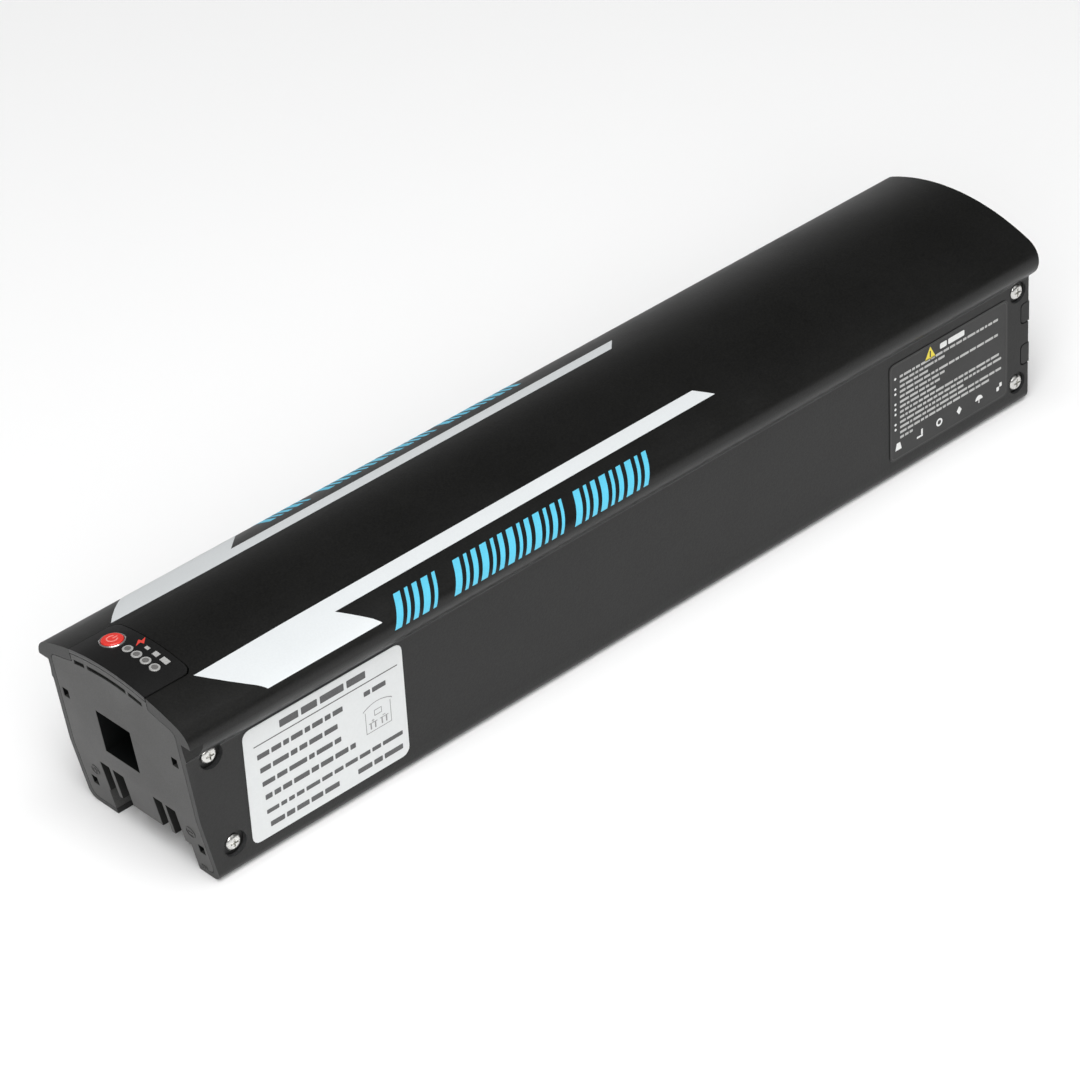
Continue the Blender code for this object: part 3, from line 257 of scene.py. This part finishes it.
LOOKS = {
    "housing": anodised, "connector_cap": cap_plastic, "tail_cap": tail_plastic,
    "front_gasket": rubber, "tail_gasket": rubber, "charge_cover": rubber,
    "contact_positive": copper, "contact_negative": copper,
    "indicator_panel": panel_film, "button_bezel": bright_ring, "power_button": button_red,
    "button_switch": wire_black, "charge_socket": wire_black, "cover_pin": zinc,
    "indicator_board": board_green, "protection_board": board_green,
    "board_heat_sink": aluminium, "turn_link": nickel,
    "contact_lead_positive": wire_red, "contact_lead_negative": wire_black,
    "pack_lead_positive": wire_red, "pack_lead_negative": wire_black,
    "indicator_cable": wire_grey, "charge_lead": wire_black,
    "rating_label": label_white, "notices_label": label_dark,
}
PREFIX_LOOKS = {
    "lamp_lens": lens_ring, "cell_group": sleeve, "series_link": nickel,
    "cell_tray": tray_plastic, "screw_": zinc,
}


def dress():
    """Gives every CAD node its finish."""
    for name, made in nodes.items():
        look = LOOKS.get(name)
        if look is None:
            look = next(found for prefix, found in PREFIX_LOOKS.items() if name.startswith(prefix))
        for place in made.material_slots:
            place.material = look


def make_soft_shading():
    """A modifier's nodes: they drop the imported normals and shade every face smooth."""
    group = bpy.data.node_groups.new("soft_shading", "GeometryNodeTree")
    for direction in ("INPUT", "OUTPUT"):
        group.interface.new_socket(
            "Geometry", in_out=direction, socket_type="NodeSocketGeometry")
    geometry = group.nodes.new("NodeGroupInput").outputs["Geometry"]
    for name in ("custom_normal", "sharp_edge"):
        drop = group.nodes.new("GeometryNodeRemoveAttribute")
        drop.inputs["Name"].default_value = name
        group.links.new(geometry, drop.inputs["Geometry"])
        geometry = drop.outputs["Geometry"]
    smooth = group.nodes.new("GeometryNodeSetShadeSmooth")
    smooth.inputs["Shade Smooth"].default_value = True
    group.links.new(geometry, smooth.inputs["Geometry"])
    end = group.nodes.new("NodeGroupOutput")
    group.links.new(smooth.outputs["Geometry"], end.inputs["Geometry"])
    return group


def soften(made, group):
    """Smooth shading up to an angle, by modifiers only; the CAD mesh itself is not changed."""
    shade = made.modifiers.new("shade", "NODES")
    shade.node_group = group
    weld = made.modifiers.new("weld", "WELD")
    weld.merge_threshold = WELD_DISTANCE
    split = made.modifiers.new("split", "EDGE_SPLIT")
    split.split_angle = radians(SMOOTH_ANGLE)


dress()
soft_shading = make_soft_shading()
for node in nodes.values():
    soften(node, soft_shading)


# ---------------------------------------------------------------- mesh tools

MERGE = 1e-5  # distance at which points of a flat outline are one
CORNER_SPARE = 1e-4  # keeps the ends of two rounded corners apart


def piece(name, bm, look, body="pack", smooth=True):
    """Ends a mesh, and makes it a piece that rides on a body."""
    bmesh.ops.recalc_face_normals(bm, faces=bm.faces)
    mesh = bpy.data.meshes.new(name)
    bm.to_mesh(mesh)
    bm.free()
    mesh.materials.append(look)
    made = bpy.data.objects.new(name, mesh)
    bpy.context.scene.collection.objects.link(made)
    if smooth:
        mesh.shade_smooth()
        mesh.set_sharp_from_angle(angle=radians(FILM_SMOOTH_ANGLE))
    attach(made, body)


def arc(cx, cy, radius, start, end, steps):
    """Points on an arc, between two angles in degrees."""
    angles = [radians(start + (end - start) * i / steps) for i in range(steps + 1)]
    return [(cx + radius * cos(a), cy + radius * sin(a)) for a in angles]


def circle(cx, cy, radius, steps=24):
    """Points on a circle, the first one not repeated."""
    return arc(cx, cy, radius, 0, 360, steps)[:-1]


def bar(x0, y0, x1, y1, radius=0.0, steps=3):
    """A rectangle, with rounded corners if a radius is given."""
    if radius <= 0:
        return [(x0, y0), (x1, y0), (x1, y1), (x0, y1)]
    radius = min(radius, (x1 - x0) / 2 - CORNER_SPARE, (y1 - y0) / 2 - CORNER_SPARE)
    points = []
    for x, y, start in ((x1, y0, -90), (x1, y1, 0), (x0, y1, 90), (x0, y0, 180)):
        cx = x - radius if x == x1 else x + radius
        cy = y - radius if y == y1 else y + radius
        points += arc(cx, cy, radius, start, start + 90, steps)
    return points


def open_strips(outer, inner):
    """A band between two lines with as many points, as quads."""
    return [
        [outer[i], outer[i + 1], inner[i + 1], inner[i]] for i in range(len(outer) - 1)
    ]


def ring_strips(outer, inner):
    """A closed band between two outlines with as many points, as quads."""
    count = len(outer)
    return [
        [outer[i], outer[(i + 1) % count], inner[(i + 1) % count], inner[i]] for i in range(count)
    ]


def add_film(bm, outline, place, top, bottom, pitch=None):
    """A thin closed film over an outline, between two lifts off a surface.

    place(a, b, lift) maps it onto the surface. With a pitch, it is cut across b so that it
    follows a curved surface."""
    flat = bmesh.new()
    flat.faces.new([flat.verts.new((a, b, 0)) for a, b in outline])
    bmesh.ops.triangulate(flat, faces=flat.faces)
    if pitch:
        low, high = min(b for _, b in outline), max(b for _, b in outline)
        cut = (int(low / pitch) - 1) * pitch
        while cut < high:
            if cut > low:
                bmesh.ops.bisect_plane(
                    flat, geom=flat.verts[:] + flat.edges[:] + flat.faces[:],
                    plane_co=(0, cut, 0), plane_no=(0, 1, 0))
            cut += pitch
    bmesh.ops.remove_doubles(flat, verts=flat.verts, dist=MERGE)
    flat.verts.index_update()
    uppers = [bm.verts.new(Vector(place(v.co.x, v.co.y, top)) * MM) for v in flat.verts]
    lowers = [bm.verts.new(Vector(place(v.co.x, v.co.y, bottom)) * MM) for v in flat.verts]
    for face in flat.faces:
        order = [v.index for v in face.verts]
        bm.faces.new([uppers[i] for i in order])
        bm.faces.new([lowers[i] for i in reversed(order)])
    for edge in flat.edges:
        if edge.is_boundary:
            a, b = (v.index for v in edge.verts)
            bm.faces.new((uppers[a], uppers[b], lowers[b], lowers[a]))
    flat.free()


def film_piece(name, outlines, place, look, top=FILM, bottom=-FILM_ROOT, pitch=None,
               body="pack"):
    """One piece with a film over each outline."""
    bm = bmesh.new()
    for outline in outlines:
        add_film(bm, outline, place, top, bottom, pitch)
    piece(name, bm, look, body)


def print_piece(name, outlines, place, look, pitch=None):
    """A film as thin as ink."""
    film_piece(name, outlines, place, look, PRINT, -PRINT_ROOT, pitch)


# ---------------------------------------------------------------- films on the crown

def crown_section(y, lift):
    """(y, z) on the crown or the nose for the width y at the surface, lifted along the normal."""
    side = -1 if y < 0 else 1
    reach = abs(y)
    blend = atan2(NOSE_Z - CROWN_CENTRE_Z, NOSE_Y)
    turn_y = NOSE_Y + NOSE_RADIUS * cos(blend)
    if reach <= turn_y:
        angle = pi / 2 - atan2(reach, sqrt(CROWN_RADIUS ** 2 - reach ** 2))
        radius = CROWN_RADIUS + lift
        return side * radius * cos(angle), CROWN_CENTRE_Z + radius * sin(angle)
    share = min(1.0, (reach - NOSE_Y) / NOSE_RADIUS)
    angle = atan2(sqrt(1 - share ** 2), share)
    radius = NOSE_RADIUS + lift
    return side * (NOSE_Y + radius * cos(angle)), NOSE_Z + radius * sin(angle)


def on_crown(distance, y, lift):
    """A point on the crown or the nose, lifted along its normal."""
    py, pz = crown_section(y, lift)
    return along(distance), py, pz


def unrolled(s, lift, side):
    """(y, z) on the section, s millimetres round it from the nose's widest point."""
    angle = s / NOSE_RADIUS
    radius = NOSE_RADIUS + lift
    blend = atan2(NOSE_Z - CROWN_CENTRE_Z, NOSE_Y)
    if angle <= blend:
        return side * (NOSE_Y + radius * cos(angle)), NOSE_Z + radius * sin(angle)
    angle = blend + (s - blend * NOSE_RADIUS) / CROWN_RADIUS
    radius = CROWN_RADIUS + lift
    return side * radius * cos(angle), CROWN_CENTRE_Z + radius * sin(angle)


# The outline of a white stripe, (distance, y): a broad front end, a notch and a long tongue.
STRIPE = [
    (19.7, 21.7), (23.2, 25.6), (27.4, 29.8), (31.9, 33.8), (37.3, 38.05), (87.8, 38.05),
    (76.6, 27.1), (257.2, 26.5), (251.5, 20.7), (150.0, 20.9), (60.0, 21.1),
]


def make_stripes():
    """The white stripes along both sides of the crown."""
    for side, word in ((-1, "right"), (1, "left")):
        film_piece(
            f"stripe_{word}", [STRIPE],
            lambda a, b, lift, side=side: on_crown(a, side * b, lift),
            film_white, pitch=STRIPE_PITCH)


# Groups of slanted bars in place of the lettering, from one distance to another.
BAR_GROUPS = ((91.5, 112.5), (118.5, 169.5), (175.0, 211.5))
BAR_WIDTHS = (3.0, 1.5, 2.2)
LEAST_BAR = 0.75  # no narrower rest is filled at a group's end
BAR_GAP = 1.9
BAR_SLANT = 6.7
BAND_LOW, BAND_HIGH = 0.95, 12.7  # round the nose, from its widest point


def slanted_bar(x0, x1, low, high):
    """A bar that leans with the band, between two heights round the nose."""
    def lean(s):
        return BAR_SLANT * (s - BAND_LOW) / (BAND_HIGH - BAND_LOW)
    return [
        (x0 + lean(low), low), (x1 + lean(low), low),
        (x1 + lean(high), high), (x0 + lean(high), high)]


def band_bars():
    """Plain slanted bars of three widths in each group, with equal gaps."""
    outlines = []
    for start, end in BAR_GROUPS:
        x = start
        count = 0
        while end - x > LEAST_BAR:
            width = min(BAR_WIDTHS[count % len(BAR_WIDTHS)], end - x)
            outlines.append(slanted_bar(x, x + width, BAND_LOW, BAND_HIGH))
            x += width + BAR_GAP
            count += 1
    return outlines


def make_band():
    """The cyan bars round the nose of both sides."""
    for side, word in ((-1, "right"), (1, "left")):
        film_piece(
            f"band_{word}", band_bars(),
            lambda a, b, lift, side=side: (along(a), *unrolled(b, lift, side)),
            film_cyan, top=BAND_FILM, pitch=BAND_PITCH)


make_stripes()
make_band()


# ---------------------------------------------------------------- labels

def label_place(node):
    """A map from millimetres on a label, from its lower front corner, to the row frame."""
    low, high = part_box(node)
    x0, z0, face = low.x / MM, low.z / MM, low.y / MM
    width, height = (high.x - low.x) / MM, (high.z - low.z) / MM

    def place(a, b, lift):
        return x0 + a, face - lift, z0 + b
    return place, width, height


def words(rng, start, end, middle, height, gap=0.9, least=2.2, most=8.0, radius=0.25):
    """Plain blocks of varied length in a row, as a stand-in for a line of print."""
    outlines = []
    at = start
    while at < end - least:
        length = min(rng.uniform(least, most), end - at)
        if end - at - length - gap < least:
            length = end - at
        outlines.append(bar(at, middle - height / 2, at + length, middle + height / 2, radius))
        at += length + gap
    return outlines


# The rating label. Shares are of the label's width and height.
RATING_HEADING = (0.225, 0.765, 0.905, 3.0)  # start, end, middle and size in millimetres
RATING_ROWS = (
    (0.075, 0.61, 0.725, 2.1), (0.085, 0.57, 0.60, 2.1), (0.09, 0.585, 0.475, 2.0),
    (0.10, 0.67, 0.35, 2.1), (0.10, 0.965, 0.22, 1.7), (0.115, 0.55, 0.10, 2.1),
    (0.67, 0.96, 0.10, 2.1), (0.745, 0.885, 0.735, 2.0),
)
RATING_RULE = (0.06, 0.823, 0.965, 0.832)
DRAWING_SHARES = (0.742, 0.905, 0.375, 0.625)
THIN_LINE = 0.28

# The notices label, in the same way.
BORDER, BORDER_WIDTH, BORDER_CORNER, BORDER_INNER_CORNER = 0.7, 0.25, 2.0, 1.8
TRIANGLE_X, TRIANGLE_Z = 0.340, 0.907
NOTICES_HEADING = (0.422, 0.628, 0.915, 2.4)
LINE_START, FIRST_LINE, LINE_STEP, LINE_SIZE = 0.085, 0.845, 0.0523, 1.05
LINE_ENDS = (
    0.915, 0.46, 0.32, 0.915, 0.46, 0.42, 0.385, 0.925, 0.945, 0.62, 0.945, 0.84, 0.19)
BULLET_X, BULLET_RADIUS = 0.047, 0.55
BULLET_ZS = (0.845, 0.74, 0.688, 0.583, 0.531, 0.479, 0.374, 0.322)
MARK_XS, MARK_Z = (0.07, 0.25, 0.415, 0.585, 0.755, 0.925), 0.135


def make_rating_print():
    """A heading, a rule, blocks for six lines and a drawing of the pack's end."""
    rng = random.Random(SEED)
    place, width, height = label_place("rating_label")
    start, end, middle, size = RATING_HEADING
    lines = words(
        rng, start * width, end * width, middle * height, size, gap=1.3, least=6.0, most=13.0)
    for start, end, middle, size in RATING_ROWS:
        lines += words(rng, start * width, end * width, middle * height, size)
    print_piece("rating_print", lines, place, ink_black)
    x0, z0, x1, z1 = RATING_RULE
    rule = bar(x0 * width, z0 * height, x1 * width, z1 * height)
    print_piece("rating_rule", [rule], place, ink_black)
    make_end_drawing(place, width, height)


def make_end_drawing(place, width, height):
    """The outline of the pack's end, its recess and its contact slots, in thin lines."""
    x0, x1 = (share * width for share in DRAWING_SHARES[:2])
    z0, z1 = (share * height for share in DRAWING_SHARES[2:])
    middle, half = (x0 + x1) / 2, (x1 - x0) / 2

    def outline(inset):
        points = [(x0 + inset, z0 + inset), (x1 - inset, z0 + inset)]
        shoulder = z1 - 2.6 - inset * 0.6
        points += [(x1 - inset, shoulder), (x1 + 0.9 - inset, shoulder + 0.6)]
        for step in range(9):
            t = 1 - 2 * step / 8
            points.append((middle + t * (half + 0.5 - inset), z1 - inset - 1.6 * t * t))
        points += [(x0 - 0.9 + inset, shoulder + 0.6), (x0 + inset, shoulder)]
        return points

    strips = ring_strips(outline(0.0), outline(THIN_LINE))
    left, right, bottom, top = middle - 1.7, middle + 1.7, z0 + 6.0, z0 + 8.4
    strips += ring_strips(bar(left, bottom, right, top), bar(
        left + THIN_LINE, bottom + THIN_LINE, right - THIN_LINE, top - THIN_LINE))
    for centre in (middle - 2.5, middle + 2.5):
        strips.append(bar(centre - 1.9, z0 + 3.6, centre + 1.9, z0 + 3.9))
        for offset in (-1.0, 1.0):
            strips.append(bar(centre + offset - 0.3, z0 + 1.2, centre + offset + 0.3, z0 + 3.6))
        strips.append(bar(centre - 0.6, z0 + 4.4, centre + 0.6, z0 + 4.7))
    strips.append(bar(middle - 2.65, z0 + 4.0, middle - 2.35, z0 + 5.1))
    print_piece("rating_drawing", strips, place, ink_grey)


def make_notices_print():
    """A thin border, a yellow triangle, a heading block, lines with bullets and six plain marks."""
    rng = random.Random(SEED + 1)
    place, width, height = label_place("notices_label")
    outer, inner = [
        bar(edge, edge, width - edge, height - edge, corner, 4) for edge, corner in (
            (BORDER, BORDER_CORNER), (BORDER + BORDER_WIDTH, BORDER_INNER_CORNER))]
    print_piece("notices_border", ring_strips(outer, inner), place, ink_faint)
    centre, middle = TRIANGLE_X * width, TRIANGLE_Z * height
    triangle = [(centre - 2.9, middle - 2.6), (centre + 2.9, middle - 2.6), (centre, middle + 2.8)]
    print_piece("notices_triangle", [triangle], place, ink_yellow)
    mark = [bar(centre - 0.3, middle - 1.9, centre + 0.3, middle + 0.9, 0.2)]
    film_piece("notices_triangle_mark", mark, place, label_dark, 2 * PRINT, 0.0)
    start, end, middle, size = NOTICES_HEADING
    heading = words(
        rng, start * width, end * width, middle * height, size, gap=0.8, least=3.0, most=6.0,
        radius=0.5)
    print_piece("notices_heading", heading, place, ink_white)
    lines = []
    for number, end in enumerate(LINE_ENDS):
        middle = (FIRST_LINE - LINE_STEP * number) * height
        lines += words(
            rng, LINE_START * width, end * width, middle, LINE_SIZE, gap=0.55, least=1.2,
            most=5.0, radius=0.2)
    print_piece("notices_print", lines, place, ink_silver)
    bullets = [circle(BULLET_X * width, z * height, BULLET_RADIUS, 10) for z in BULLET_ZS]
    print_piece(
        "notices_marks", bullets + plain_marks(width, height), place, ink_white)


def plain_marks(width, height):
    """A wedge, an angle, a ring, a lozenge, an umbrella and two blocks, in a row."""
    base = MARK_Z * height
    x = [share * width for share in MARK_XS]
    marks = [
        [(x[0] - 1.7, base - 1.5), (x[0] + 1.7, base - 1.5),
         (x[0] + 0.9, base + 1.6), (x[0] - 0.9, base + 1.6)],
        bar(x[1] - 1.6, base - 1.6, x[1] + 1.6, base - 0.8),
        bar(x[1] + 0.7, base - 0.7, x[1] + 1.6, base + 1.7),
        [(x[3], base - 1.8), (x[3] + 1.4, base), (x[3], base + 1.8), (x[3] - 1.4, base)],
        arc(x[4], base - 0.5, 2.0, 0, 180, 10),
        bar(x[4] - 0.25, base - 1.9, x[4] + 0.25, base - 0.5),
        bar(x[5] - 1.2, base - 1.6, x[5] + 0.2, base + 0.2, 0.3),
        bar(x[5] + 0.4, base - 0.2, x[5] + 1.7, base + 1.6, 0.3),
    ]
    return marks + ring_strips(circle(x[2], base, 1.7, 18), circle(x[2], base, 0.95, 18))


make_rating_print()
make_notices_print()


# ---------------------------------------------------------------- indicator panel

def make_icons():
    """A bolt and three steps of charge beside the lamps."""
    print_piece("icon_bolt", [BOLT], on_crown, icon_red, PANEL_PITCH)
    steps = []
    for centre, width, length in STEPS:
        x0, x1 = STEP_X - length / 2, STEP_X + length / 2
        y0, y1 = centre - width / 2, centre + width / 2
        steps.append([(x0, y0), (x1, y0 + STEP_LEAN), (x1, y1 + STEP_LEAN), (x0, y1)])
    print_piece("icon_steps", steps, on_crown, icon_grey, PANEL_PITCH)


def make_lamp_faces():
    """The darker window in the middle of each lamp's ring."""
    for number, y in enumerate(LAMP_YS, 1):
        film_piece(
            f"lamp_face_{number}", [circle(CONTROL_ROW_X, y, LAMP_FACE_RADIUS, 20)], on_crown,
            lens_centre, LAMP_TOP + PRINT, LAMP_TOP - PRINT_ROOT)


def make_button_mark():
    """The moulded ring and bar on the key."""
    outer = arc(CONTROL_ROW_X, BUTTON_Y, MARK_OUTER, *MARK_ARC, 24)
    inner = arc(CONTROL_ROW_X, BUTTON_Y, MARK_INNER, *MARK_ARC, 24)
    start, end, half = MARK_BAR
    strips = open_strips(outer, inner)
    strips.append(bar(CONTROL_ROW_X + start, BUTTON_Y - half, CONTROL_ROW_X + end, BUTTON_Y + half))
    film_piece(
        "button_mark", strips, on_crown, button_mark, BUTTON_TOP + BUTTON_MARK,
        BUTTON_TOP - RAISED_ROOT, body="button")


def on_front(y, z, lift):
    """A point on the slanted front face, lifted along its normal."""
    slant = UPPER_SLANT if z >= SLANT_BREAK_Z else LOWER_SLANT
    return along(front_x(z)) - lift * cos(slant), y, z - lift * sin(slant)


def make_face_marks():
    """Moulded rings with a plus and a minus, beside the contact slots."""
    strips = []
    for y, z, radius, plus in POLE_MARKS:
        strips += ring_strips(circle(y, z, radius), circle(y, z, radius - POLE_RING))
        strips.append(bar(y - radius / 2, z - POLE_BAR, y + radius / 2, z + POLE_BAR))
        if plus:
            strips.append(bar(y - POLE_BAR, z + POLE_BAR, y + POLE_BAR, z + radius / 2))
            strips.append(bar(y - POLE_BAR, z - radius / 2, y + POLE_BAR, z - POLE_BAR))
    film_piece("face_marks", strips, on_front, cap_plastic, POLE_RISE, -RAISED_ROOT)


def add_lining(bm, ys, zs, depth):
    """The walls, ceiling and end of an opening, as thin films of painted shade on its inside."""
    (low, high), (floor, roof) = ys, zs
    mouth = [front_x(floor) + MOUTH, front_x(roof) + MOUTH]
    for y, side in ((low, 1), (high, -1)):
        wall = [(mouth[0], floor), (mouth[1], roof), (depth, roof), (depth, floor)]
        add_film(
            bm, wall, lambda a, b, lift, y=y, side=side: (along(a), y + side * lift, b),
            LINER, LINER_ROOT)
    ceiling = bar(mouth[1], low, depth, high)
    add_film(bm, ceiling, lambda a, b, lift: (along(a), b, roof - lift), LINER, LINER_ROOT)
    end = bar(low, floor, high, roof)
    add_film(bm, end, lambda a, b, lift: (along(depth - lift), a, b), LINER, LINER_ROOT)


def make_shade_liners():
    """Dark films inside the lock recess, the contact slots, the windows and the slits: painted
    shade where light does not reach.
    """
    bm = bmesh.new()
    add_lining(bm, LOCK_Y, LOCK_Z, LOCK_DEPTH)
    floor = LOCK_Z[0]
    shelf = bar(front_x(floor) + MOUTH, LOCK_Y[0], LOCK_DEPTH, LOCK_Y[1])
    add_film(bm, shelf, lambda a, b, lift: (along(a), b, floor + lift), LINER, LINER_ROOT)
    for y, z in WINDOWS:
        ys = (y - WINDOW_HALF_WIDTH, y + WINDOW_HALF_WIDTH)
        zs = (z - WINDOW_HALF_HEIGHT, z + WINDOW_HALF_HEIGHT)
        add_lining(bm, ys, zs, front_x(z) + WINDOW_DEPTH)
    for low, high in SLITS:
        for strip in under_crown(low, high, SLIT_TOP, SLIT_BOTTOM, SLIT_STEPS):
            add_film(bm, strip, on_front, -SLIT_DEPTH, -SLIT_DEPTH - SLIT_FILM)
    piece("recess_painted_shade", bm, painted_shade_black, smooth=False)
    bm = bmesh.new()
    for ys in SLOT_YS:
        add_lining(bm, ys, SLOT_ZS, SLOT_DEPTH)
    piece("slot_painted_shade_films", bm, slot_painted_shade, smooth=False)


def under_crown(low, high, top, bottom, count):
    """Quads in (y, z) that follow the crown between two depths under it."""
    ys = [low + (high - low) * i / count for i in range(count + 1)]
    upper = [(y, crown_section(y, -top)[1]) for y in ys]
    lower = [(y, crown_section(y, -bottom)[1]) for y in ys]
    return [[lower[i], lower[i + 1], upper[i + 1], upper[i]] for i in range(count)]


def on_wall(side):
    """A map from (distance, z) onto a side wall, lifted outwards."""
    def place(a, b, lift):
        return along(a), side * (WALL_Y + lift), b
    return place


def make_pocket_painted_highlights():
    """A lighter, shinier ring on the wall of each screw's pocket: painted highlight of the lit
    wall.
    """
    bm = bmesh.new()
    for distance, z, radius, depth in SCREWS:
        outer = circle(distance, z, radius - EDGE_START, 32)
        inner = circle(distance, z, radius - EDGE_END, 32)
        for side in (-1, 1):
            for strip in ring_strips(outer, inner):
                add_film(bm, strip, on_wall(side), -EDGE_TOP, -depth + EDGE_FLOOR)
    piece("pocket_painted_highlights", bm, pocket_painted_highlight)


def lug_line(low, high, gap):
    """The three sides of a lug's joint, a gap inside the notch in the wall."""
    x = LUG_START + gap + LUG_CORNER
    low, high = low + gap, high - gap
    upper = arc(x, high - LUG_CORNER, LUG_CORNER, 90, 180, 4)
    lower = arc(x, low + LUG_CORNER, LUG_CORNER, 180, 270, 4)
    return [(LUG_END, high)] + upper + lower + [(LUG_END, low)]


def make_lug_gap_shade():
    """A black film deep in the gap round each lug of the tail cap: painted shade in the joint."""
    bm = bmesh.new()
    for low, high in LUG_ZS:
        outer = lug_line(low, high, LUG_CLEAR)
        inner = lug_line(low, high, LUG_GAP - LUG_CLEAR)
        for side in (-1, 1):
            for strip in open_strips(outer, inner):
                add_film(bm, strip, on_wall(side), -LUG_FILM_TOP, -LUG_FILM_BOTTOM)
    piece("lug_gap_shade", bm, painted_shade_black)


def make_foot_ribs():
    """Three short ribs at the foot of the face, on the right."""
    strips = [bar(y, RIB_ZS[0], y + RIB_WIDTH, RIB_ZS[1]) for y in RIB_YS]
    film_piece("foot_ribs", strips, on_front, cap_plastic, RIB_RISE, -RAISED_ROOT)


def make_seam_shade_line():
    """A thin near-black line under the panel's film, along its front edge: painted shade in the
    seam.
    """
    strips = under_crown(*SEAM_YS, SEAM_TOP, SEAM_BOTTOM, SEAM_STEPS)
    film_piece("seam_shade_line", strips, on_front, seam_painted_shade, SEAM_FILM, -PRINT_ROOT)


make_icons()
make_lamp_faces()
make_button_mark()
make_face_marks()
make_shade_liners()
make_pocket_painted_highlights()
make_lug_gap_shade()
make_foot_ribs()
make_seam_shade_line()


# ---------------------------------------------------------------- floor, light and camera
# Sizes here are in metres.

FLOOR_HALF, FLOOR_Z = 6.0, -0.0002
LIGHT_TARGET = Vector((0, 0, 0.04))
WORLD_STRENGTH = 0.05
CAMERA_PLACE = (-0.9148, -1.0300, 0.9763)
CAMERA_RIGHT, CAMERA_BACK = (0.7285, -0.6832, -0.0502), (-0.5416, -0.6193, 0.5684)
LENS, SENSOR = 154.97, 36.0  # millimetres
CLIP_END = 50.0


def make_floor():
    """A large pale sheet, just under the pack."""
    bm = bmesh.new()
    corners = bar(-FLOOR_HALF, -FLOOR_HALF, FLOOR_HALF, FLOOR_HALF)
    bm.faces.new([bm.verts.new((x, y, FLOOR_Z)) for x, y in corners])
    mesh = bpy.data.meshes.new("floor")
    bm.to_mesh(mesh)
    bm.free()
    paper = finish("floor_paper", (0.93, 0.93, 0.93), 0.9, speckle=0.0, patch=0.0, specular=0.1)
    mesh.materials.append(paper)
    floor = bpy.data.objects.new("floor", mesh)
    bpy.context.scene.collection.objects.link(floor)


def make_light(name, place, width, height, power):
    """A soft box that points at the pack."""
    light = bpy.data.lights.new(name, "AREA")
    light.shape = "RECTANGLE"
    light.size = width
    light.size_y = height
    light.energy = power
    made = bpy.data.objects.new(name, light)
    bpy.context.scene.collection.objects.link(made)
    made.location = place
    made.rotation_euler = (LIGHT_TARGET - Vector(place)).to_track_quat("-Z", "Y").to_euler()


def make_lights():
    """Four soft boxes in a faint white room."""
    make_light("front", (-1.8, -2.0, 2.2), 2.6, 2.6, 92)
    make_light("top", (-0.5, -0.6, 3.1), 2.2, 2.2, 76)
    make_light("edge", (0.6, -2.1, 1.7), 1.4, 1.4, 5)
    make_light("backdrop", (1.5, 2.1, 0.40), 3.0, 0.7, 3)
    world = bpy.data.worlds.new("studio")
    world.use_nodes = True
    background = world.node_tree.nodes["Background"]
    background.inputs["Color"].default_value = (1, 1, 1, 1)
    background.inputs["Strength"].default_value = WORLD_STRENGTH
    bpy.context.scene.world = world


def make_camera():
    """At the photograph's angle: a long lens, from the front right and above."""
    right = Vector(CAMERA_RIGHT).normalized()
    back = Vector(CAMERA_BACK).normalized()
    up = back.cross(right).normalized()
    right = up.cross(back).normalized()
    camera = bpy.data.cameras.new("camera")
    camera.lens = LENS
    camera.sensor_width = SENSOR
    camera.clip_end = CLIP_END
    made = bpy.data.objects.new("camera", camera)
    bpy.context.scene.collection.objects.link(made)
    turn = Matrix((right, up, back)).transposed().to_4x4()
    made.matrix_world = Matrix.Translation(CAMERA_PLACE) @ turn
    bpy.context.scene.camera = made


make_floor()
make_lights()
make_camera()
bpy.context.scene.view_settings.view_transform = "Standard"
